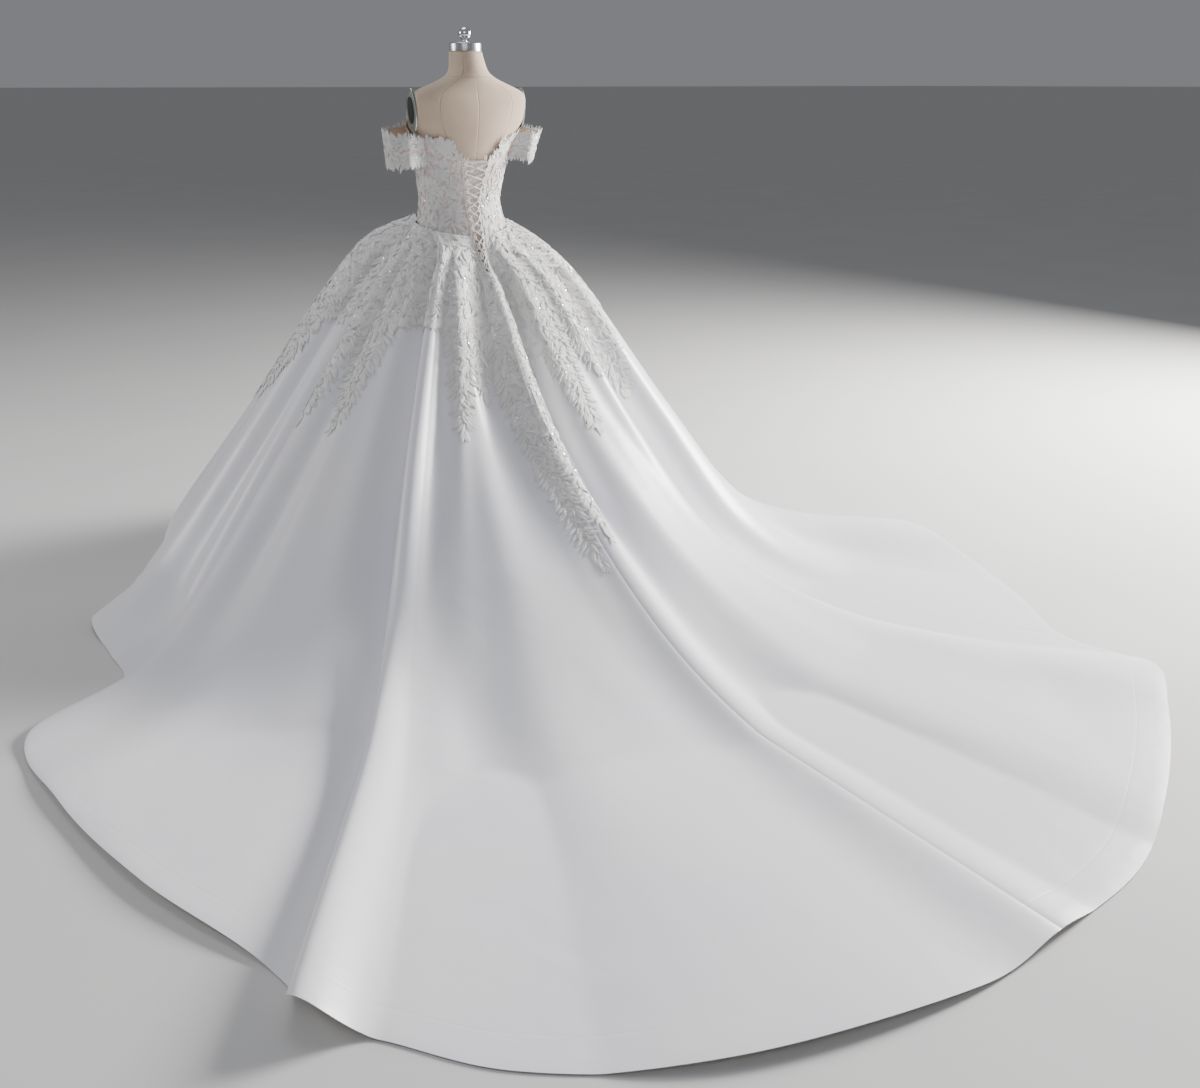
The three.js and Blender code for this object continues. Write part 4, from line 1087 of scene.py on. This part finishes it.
# %% Sleeves
SLEEVE_EDGES = [  # share, low, high
    (0, 1238, 1300),
    (0.5, 1222, 1322),
    (1, 1262, 1346),
]
SLEEVE_PLAN = [  # across, back
    (200, 82),
    (243, 42),
    (222, -14),
]
SLEEVE_BACK_ANGLE, SLEEVE_FRONT_ANGLE, SLEEVE_BACK_SEAT = 66, 128, 1.9
SLEEVES = [  # name, side, narrowing, lift, seat
    ("sleeve_left", 1, 0.02, 0, 1.4),
    ("sleeve_right", -1, 0.13, 10, 2.2),
]


def sleeve_surface(side, narrowing, lift, seat):
    def surface(share, height, out=0.0):
        share, height = np.broadcast_arrays(np.asarray(share, float), np.asarray(height, float))
        low = smooth_value(SLEEVE_EDGES, 1, share) + lift
        z = mix(low, smooth_value(SLEEVE_EDGES, 2, share), height)
        shrink = 1 - narrowing * (1 - height)
        middle = [np.stack([x * shrink, y + 0 * z, z], -1) for x, y in SLEEVE_PLAN]
        points = [
            figure_point(SLEEVE_BACK_ANGLE, z, WORN + BODICE_WALL + SLEEVE_BACK_SEAT),
            *middle,
            figure_point(SLEEVE_FRONT_ANGLE, z, WORN + BODICE_WALL + seat),
        ]
        points = [2 * points[0] - points[1], *points, 2 * points[-1] - points[-2]]
        stacked = np.stack(points)

        def curve(at):
            along = np.clip(at, 0, 1) * 4
            k = np.minimum(along.astype(int), 3)
            p = [np.take_along_axis(stacked, (k + step)[None, ..., None], 0)[0] for step in range(4)]
            return through(*p, along - k)

        forward = curve(share + 0.01) - curve(share - 0.01)
        normal = unit(np.stack([-forward[..., 1], forward[..., 0], 0 * z], -1))
        puff = 1.6 * np.sin(9 * math.pi * share + 2 * height) * np.sin(math.pi * np.clip(share, 0, 1))
        point = curve(share) + normal * (np.asarray(out) + puff)[..., None]
        point[..., 0] *= side
        return point
    return surface


SLEEVE_STEP = (0.012, 0.03)
SLEEVE_BAND = (0.1, 0.86)  # the cloth's edges as shares of the sleeve's height
SLEEVE_LEAVES, SLEEVE_RIM, SLEEVE_SEQUINS, SLEEVE_BEADS = 520, 46, 130, 110
SLEEVE_OUT = {"leaves": 0.9, "sequins": 2.8, "beads": 2.6}
SLEEVE_LEAF, SLEEVE_RIM_LEAF, RIM_HEIGHTS = (16, 28), (15, 24), (0.8, 0.2)


def sleeve_places(count, rng):
    return rng.uniform(0.02, 0.98, count), rng.uniform(0.08, 0.92, count)


for order, (name, side, narrowing, lift, seat) in enumerate(SLEEVES):
    rng = np.random.default_rng(80 + order)
    cloth = sleeve_surface(side, narrowing, lift, seat)
    band = laid_grid(name + "_band", lambda u, v: cloth(u, mix(*SLEEVE_BAND, v), 0.6), 90, 26,
                     [blush, nude], 1.0)
    share, height = rng.uniform(0.02, 0.97, SLEEVE_LEAVES), rng.uniform(0.12, 0.84, SLEEVE_LEAVES)
    turn = rng.normal(0, 0.7, SLEEVE_LEAVES) + np.where(height > 0.5, 0, math.pi)
    edge_share = rng.uniform(0.02, 0.98, 2 * SLEEVE_RIM)
    edge_height = np.repeat(RIM_HEIGHTS, SLEEVE_RIM)
    edge_turn = rng.normal(0, 0.4, 2 * SLEEVE_RIM) + np.repeat([0, math.pi], SLEEVE_RIM)
    fronds = [(share, height, turn, rng.uniform(*SLEEVE_LEAF, SLEEVE_LEAVES)),
              (edge_share, edge_height, edge_turn, rng.uniform(*SLEEVE_RIM_LEAF, 2 * SLEEVE_RIM))]
    leaves = leaves_on(name, cloth, SLEEVE_STEP, fronds, SLEEVE_OUT["leaves"], rng)
    places = sleeve_places(SLEEVE_SEQUINS, rng)
    sequins = trims_on(name, "sequins", cloth, SLEEVE_STEP, places, SMALL_SEQUIN, SLEEVE_OUT["sequins"], rng)
    places = sleeve_places(SLEEVE_BEADS, rng)
    beads = trims_on(name, "beads", cloth, SLEEVE_STEP, places, SMALL_BEAD, SLEEVE_OUT["beads"], rng)
    for piece in (band, leaves, sequins, beads):
        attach(piece, "root")
    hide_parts(name)

# %% [markdown]
# ## Laced back
# A panel lies behind the opening. Rouleau loops stand along both edges, and one cord runs from side to side
# through them. Both are satin tubes, so they are curves with a round section.

# %% Panel behind the lacing
UNDERLAY_OUT, UNDERLAY_ANGLE, UNDERLAY_LOW, UNDERLAY_HIGH, UNDERLAY_LEAVES = 2.1, 30, 1036, 1240, 70


def underlay_outer(angle, z, out=0.0):
    return figure_point(angle, z, UNDERLAY_OUT + out)


def underlay(u, v):
    return underlay_outer(mix(-UNDERLAY_ANGLE, UNDERLAY_ANGLE, u), mix(UNDERLAY_LOW, UNDERLAY_HIGH, v))


rng = np.random.default_rng(90)
panel = laid_grid("lacing_panel_cloth", underlay, 40, 50, [blush, nude], 1.4)
angle, z = rng.uniform(-18, 18, UNDERLAY_LEAVES), rng.uniform(1040, 1226, UNDERLAY_LEAVES)
turn, size = rng.normal(math.pi, 0.7, UNDERLAY_LEAVES), rng.uniform(12, 18, UNDERLAY_LEAVES)
panel_leaves = leaves_on("lacing_panel", underlay_outer, BODICE_STEP, [(angle, z, turn, size)], -0.6, rng)
for piece in (panel, panel_leaves):
    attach(piece, "root")
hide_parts("lacing_panel")
print("panel behind the lacing:", panel.name)

# %% [markdown]
# The cord and the loops have to lie on the bodice above the waist and on the skirt's centre back below it. One
# function gives a place on either, at a height, a distance from the middle and a distance off the cloth.

# %% Places on the laced back
LOOP_PAIRS, LOOP_TOP, LOOP_PITCH = 13, 1232, 25.8
LOOP_REACH, LOOP_LENGTH, LOOP_LEAST_TIP, LOOP_MOUTH, LOOP_TIP_OUT, LOOP_SEAT = 6, 8, 4, 7, 8.3, 1.5
LOOP_ROOT_UP, LOOP_LEANS, LOOP_RISES, PIPING_BESIDE, PIPING_OUT = 0.42 * LOOP_PITCH, 2, 3, 2.2, 0.6
TURN_IN, TURN_HALF = 3.4, 3.2
CORD_DIAMETER, LOOP_DIAMETER = 3.6, 2.4
CORD_LOW = 0.3 + 0.5 * CORD_DIAMETER + 0.1
CORD_HIGH = CORD_LOW + CORD_DIAMETER + 0.6
BACK_LINE = skirt_base(np.zeros(400), np.linspace(0, 0.6, 400))


def back_place(z, x, out):
    """A place on the centre back: its height, its distance from the middle and how far it is off the cloth."""
    if z >= float(smooth_value(WAIST_SEAM, 1, 0)):
        angle = math.degrees(math.asin(x / float(smooth_value(SECTIONS, 1, z))))
        return figure_point(angle, z, WORN + SATIN + out)
    k = int(np.argmax(BACK_LINE[:, 2] < z))
    slope = unit(BACK_LINE[k] - BACK_LINE[k - 1])
    point = BACK_LINE[k] + np.array([0, -slope[2], slope[1]]) * (SATIN + out)
    point[0] = x
    return point


def loop_height(k):
    return LOOP_TOP - k * LOOP_PITCH


def loop_tip(z):
    return max(float(smooth_value(LACED_OPENING, 1, z)) - LOOP_REACH, LOOP_LEAST_TIP)


def tube_curve(name, routes, diameter, material):
    """Round satin tubes through the points of each route."""
    data = bpy.data.curves.new(name, "CURVE")
    data.dimensions = "3D"
    data.bevel_depth = 0.5 * diameter * MM
    data.bevel_resolution = 2
    data.resolution_u = 6
    data.use_fill_caps = True
    for route in routes:
        spline = data.splines.new("NURBS")
        spline.points.add(len(route) - 1)
        for point, at in zip(spline.points, route):
            point.co = (*(np.asarray(at) * MM), 1)
        spline.order_u = 3
        spline.use_endpoint_u = True
    data.materials.append(material)
    piece = bpy.data.objects.new(name, data)
    scene.collection.objects.link(piece)
    return piece


# %% Loops and lacing cord
for side, name in ((1, "loops_left"), (-1, "loops_right")):
    routes = []
    for k in range(LOOP_PAIRS):
        z = loop_height(k)
        root = side * (loop_tip(z) + LOOP_LENGTH)
        tip = side * (loop_tip(z) - 0.6)
        routes.append([
            back_place(z + LOOP_ROOT_UP, root, LOOP_SEAT),
            back_place(z + LOOP_MOUTH, root - side * LOOP_LEANS, LOOP_SEAT + LOOP_RISES),
            back_place(z + LOOP_MOUTH, tip, LOOP_TIP_OUT),
            back_place(z - LOOP_MOUTH, tip, LOOP_TIP_OUT),
            back_place(z - LOOP_MOUTH, root - side * LOOP_LEANS, LOOP_SEAT + LOOP_RISES),
            back_place(z - LOOP_ROOT_UP, root, LOOP_SEAT),
        ])
    piping = [back_place(z, side * (float(smooth_value(LACED_OPENING, 1, z)) + PIPING_BESIDE), PIPING_OUT)
              for z in np.linspace(LOOP_TOP + 10, loop_height(LOOP_PAIRS - 0.5), 40)]
    loops = tube_curve(name + "_rouleau", [*routes, piping], LOOP_DIAMETER, cord_satin)
    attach(loops, "root")
    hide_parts(name)


def strand(first_side, crossing):
    route = []
    for k in range(LOOP_PAIRS):
        side = first_side * (-1 if k % 2 else 1)
        z = loop_height(k)
        x = side * (loop_tip(z) + TURN_IN)
        route += [back_place(z + TURN_HALF, x, CORD_LOW), back_place(z - TURN_HALF, x, CORD_LOW)]
        if k + 1 < LOOP_PAIRS:
            route.append(back_place(loop_height(k + 0.5), 0, crossing))
    return route


whole_cord = [*strand(1, CORD_LOW)[::-1], *strand(-1, CORD_HIGH)]
lacing = tube_curve("lacing_cord_satin", [whole_cord], CORD_DIAMETER, cord_satin)
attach(lacing, "root")
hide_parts("lacing_cord")
print("loops:", 2 * LOOP_PAIRS)

# %% [markdown]
# ## Dress form
# The form is a papier shell under plain linen, with panel seams, flat arm sides and steel fittings. Only its
# upper part shows. The grid runs round it and up to the neck, and one face closes each end.

# %% Linen and metal materials
linen, tree, shader = new_material("linen")
place = place_in(tree)
cut = add_node(tree, "SeparateXYZ", {0: place_in(tree, "UV")})
drift = tone(tree, shader, place, (0.60, 0.46, 0.345), (0.55, 0.415, 0.31), 14.0, 0.85, 0.1)
FORM_SEAMS = (0.0, 0.1, 0.22, 0.36, 0.5, 0.64, 0.78, 0.9, 1.0)  # shares of the way round
NECK_SEAM = 0.905  # share of the height
seams = use_group(tree, sewn_line, {"Across": cut["Y"], "Place": NECK_SEAM, "Half width": 0.003})["Line"]
for seam in FORM_SEAMS:
    line = use_group(tree, sewn_line, {"Across": cut["X"], "Place": seam, "Half width": 0.0018})["Line"]
    seams = arithmetic(tree, "MAXIMUM", seams, line)
seam_share = arithmetic(tree, "MULTIPLY", seams, 0.3)
tones = {0: seam_share, 6: drift["Colour"], 7: (0.5, 0.38, 0.29, 1)}
darker = add_node(tree, "Mix", tones, data_type="RGBA")[2]
tree.links.new(darker, shader["Base Color"])
woven = add_threads(tree, shader, place, 520.0, 0.8, 0.0003, 0.7)
add_bump(tree, shader, arithmetic(tree, "MULTIPLY", seams, -1.0), 0.0012, 1.0, woven)
shader["Sheen Weight"].default_value = 0.2


def metal(name, first, second, roughness, change, stretch, grain):
    material, tree, shader = new_material(name)
    scaled = add_node(tree, "Mapping", {"Vector": place_in(tree), "Scale": stretch})["Vector"]
    tone(tree, shader, scaled, first, second, 1.0, roughness, change)
    streaks = add_node(tree, "TexNoise", {"Vector": scaled, "Scale": 6.0, "Detail": 2.0})["Fac"]
    add_bump(tree, shader, streaks, grain, 0.5)
    shader["Metallic"].default_value = 1.0
    return material


steel = metal("brushed_steel", (0.72, 0.72, 0.73), (0.5, 0.5, 0.52), 0.28, 0.2, (220, 220, 8), 0.0002)
chrome = metal("chrome", (0.86, 0.86, 0.88), (0.78, 0.79, 0.82), 0.08, 0.04, (40, 40, 40), 0.00004)
arm_metal = metal("arm_plate_metal", (0.42, 0.45, 0.43), (0.34, 0.37, 0.35), 0.38, 0.2, (60, 60, 60), 0.0001)
socket_black, tree, shader = new_material("socket_black")
tone(tree, shader, place_in(tree), (0.012, 0.013, 0.015), (0.025, 0.027, 0.03), 90.0, 0.75, 0.1)
print("hard finishes:", steel.name, chrome.name, arm_metal.name, socket_black.name)

# %% [markdown]
# The linen lies on the same sections as the gown. It is held in a little at the back and more at the front, so
# that the bodice is never pierced, and it is cut flat at the arms, where the steel plates sit.

# %% Form body
FORM_LOW, FORM_HIGH = 826, 1530
WELD = 0.02
ARM_PLANE_X, ARM_PLANE_Z, ARM_PLANE_SLOPE = 171, 1440, 0.06
EASE_BACK, EASE_FRONT = 0.9, 3.2


def smooth_step(x, low, high):
    t = np.clip((x - low) / (high - low), 0, 1)
    return t * t * (3 - 2 * t)


def form_surface(u, v):
    angle, z = 360 * u, mix(FORM_LOW, FORM_HIGH, v)
    ease = mix(EASE_BACK, EASE_FRONT, smooth_step(from_back(angle), 60, 110)) * (1 - smooth_step(z, 1340, 1380))
    point = figure_point(angle, z, -ease)
    side = ARM_PLANE_X - ARM_PLANE_SLOPE * (ARM_PLANE_Z - z)
    point[..., 0] = np.clip(point[..., 0], -side, side)
    return point


form = laid_grid("form_linen", form_surface, 168, 120, [linen])
closing = bmesh.new()
closing.from_mesh(form.data)
bmesh.ops.remove_doubles(closing, verts=closing.verts, dist=WELD * MM)
rims = [edge for edge in closing.edges if edge.is_boundary]
bmesh.ops.holes_fill(closing, edges=rims, sides=0)
bmesh.ops.recalc_face_normals(closing, faces=closing.faces)
closing.to_mesh(form.data)
closing.free()
form.data.shade_smooth()
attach(form, "root")
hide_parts("form_body")

# %% [markdown]
# The cap and its ball are turned parts, so a profile is spun round the neck's axis.

# %% Neck cap and ball
NECK_BACK, NECK_HIGH = 55, 1530


def turned(name, profile, material, turns=48):
    shape = bmesh.new()
    points = [shape.verts.new((r * MM, NECK_BACK * MM, z * MM)) for r, z in profile]
    edges = [shape.edges.new(pair) for pair in zip(points, points[1:])]
    bmesh.ops.spin(shape, geom=points + edges, cent=(0, NECK_BACK * MM, 0), axis=(0, 0, 1), angle=2 * math.pi,
                   steps=turns, use_merge=True)
    bmesh.ops.remove_doubles(shape, verts=shape.verts, dist=0.01 * MM)
    bmesh.ops.recalc_face_normals(shape, faces=shape.faces)
    mesh = finished_mesh(shape, name)
    piece = to_object(name, mesh, [material])
    mesh.set_sharp_from_angle(angle=math.radians(38))
    return piece


CAP_LOW = NECK_HIGH + 0.3
cap = turned("neck_cap_steel", [
    (0, CAP_LOW), (43.5, CAP_LOW), (45, CAP_LOW + 1.5), (45, CAP_LOW + 20), (44.2, CAP_LOW + 22.5),
    (42, CAP_LOW + 24), (9, CAP_LOW + 24), (0, CAP_LOW + 24),
], steel)
BALL_LOW = CAP_LOW + 24.3
ball_profile = [(0, BALL_LOW), (8, BALL_LOW), (8, BALL_LOW + 1.2), (6, BALL_LOW + 2.2), (5.6, BALL_LOW + 4.5)]
BALL_RADIUS, BALL_CENTRE, BALL_STEPS = 18, BALL_LOW + 23, 24
for k in range(2, BALL_STEPS + 1):
    turn = math.pi * k / BALL_STEPS
    ball_profile.append((BALL_RADIUS * math.sin(turn), BALL_CENTRE - BALL_RADIUS * math.cos(turn)))
ball_profile[-1] = (0, BALL_CENTRE + BALL_RADIUS)
ball = turned("finial_chrome", ball_profile, chrome)
for piece, node, slot in ((cap, "neck_cap", "steel"), (ball, "finial", "chrome")):
    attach(piece, "root")
    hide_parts(node)

# %% [markdown]
# The arm plates with their sockets, the pole and the base have the right shape already. Their solids stay and
# get a finish, and a weld and a small bevel soften their edges.

# %% Fittings that keep their solids
KEPT = {
    "arm_plate_left": arm_metal, "arm_plate_right": arm_metal, "arm_socket_left": socket_black,
    "arm_socket_right": socket_black, "base_plate": steel, "pole": steel,
}
for node, material in KEPT.items():
    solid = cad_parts[node]
    solid.data.materials.clear()
    solid.data.materials.append(material)
    weld = solid.modifiers.new("weld", "WELD")
    weld.merge_threshold = WELD * MM
    bevel = solid.modifiers.new("bevel", "BEVEL")
    bevel.width = 0.0012
    bevel.segments = 3
    bevel.limit_method = "ANGLE"
    bevel.angle_limit = math.radians(40)
print("solids kept:", len(KEPT))

# %% [markdown]
# ## Floor
# A plain pale floor carries the train.

# %% Floor
FLOOR_HALF, FLOOR_DROP = 400, 0.6  # metres to its edges, which meet the horizon, and mm below the hem
floor_look, tree, shader = new_material("floor")
tone(tree, shader, place_in(tree), (0.62, 0.61, 0.60), (0.59, 0.585, 0.58), 1.5, 0.8, 0.05)
flat = bmesh.new()
bmesh.ops.create_grid(flat, x_segments=1, y_segments=1, size=FLOOR_HALF)
bmesh.ops.translate(flat, verts=flat.verts, vec=(0, 0, -FLOOR_DROP * MM))
floor = to_object("floor", finished_mesh(flat, "floor"), [floor_look])
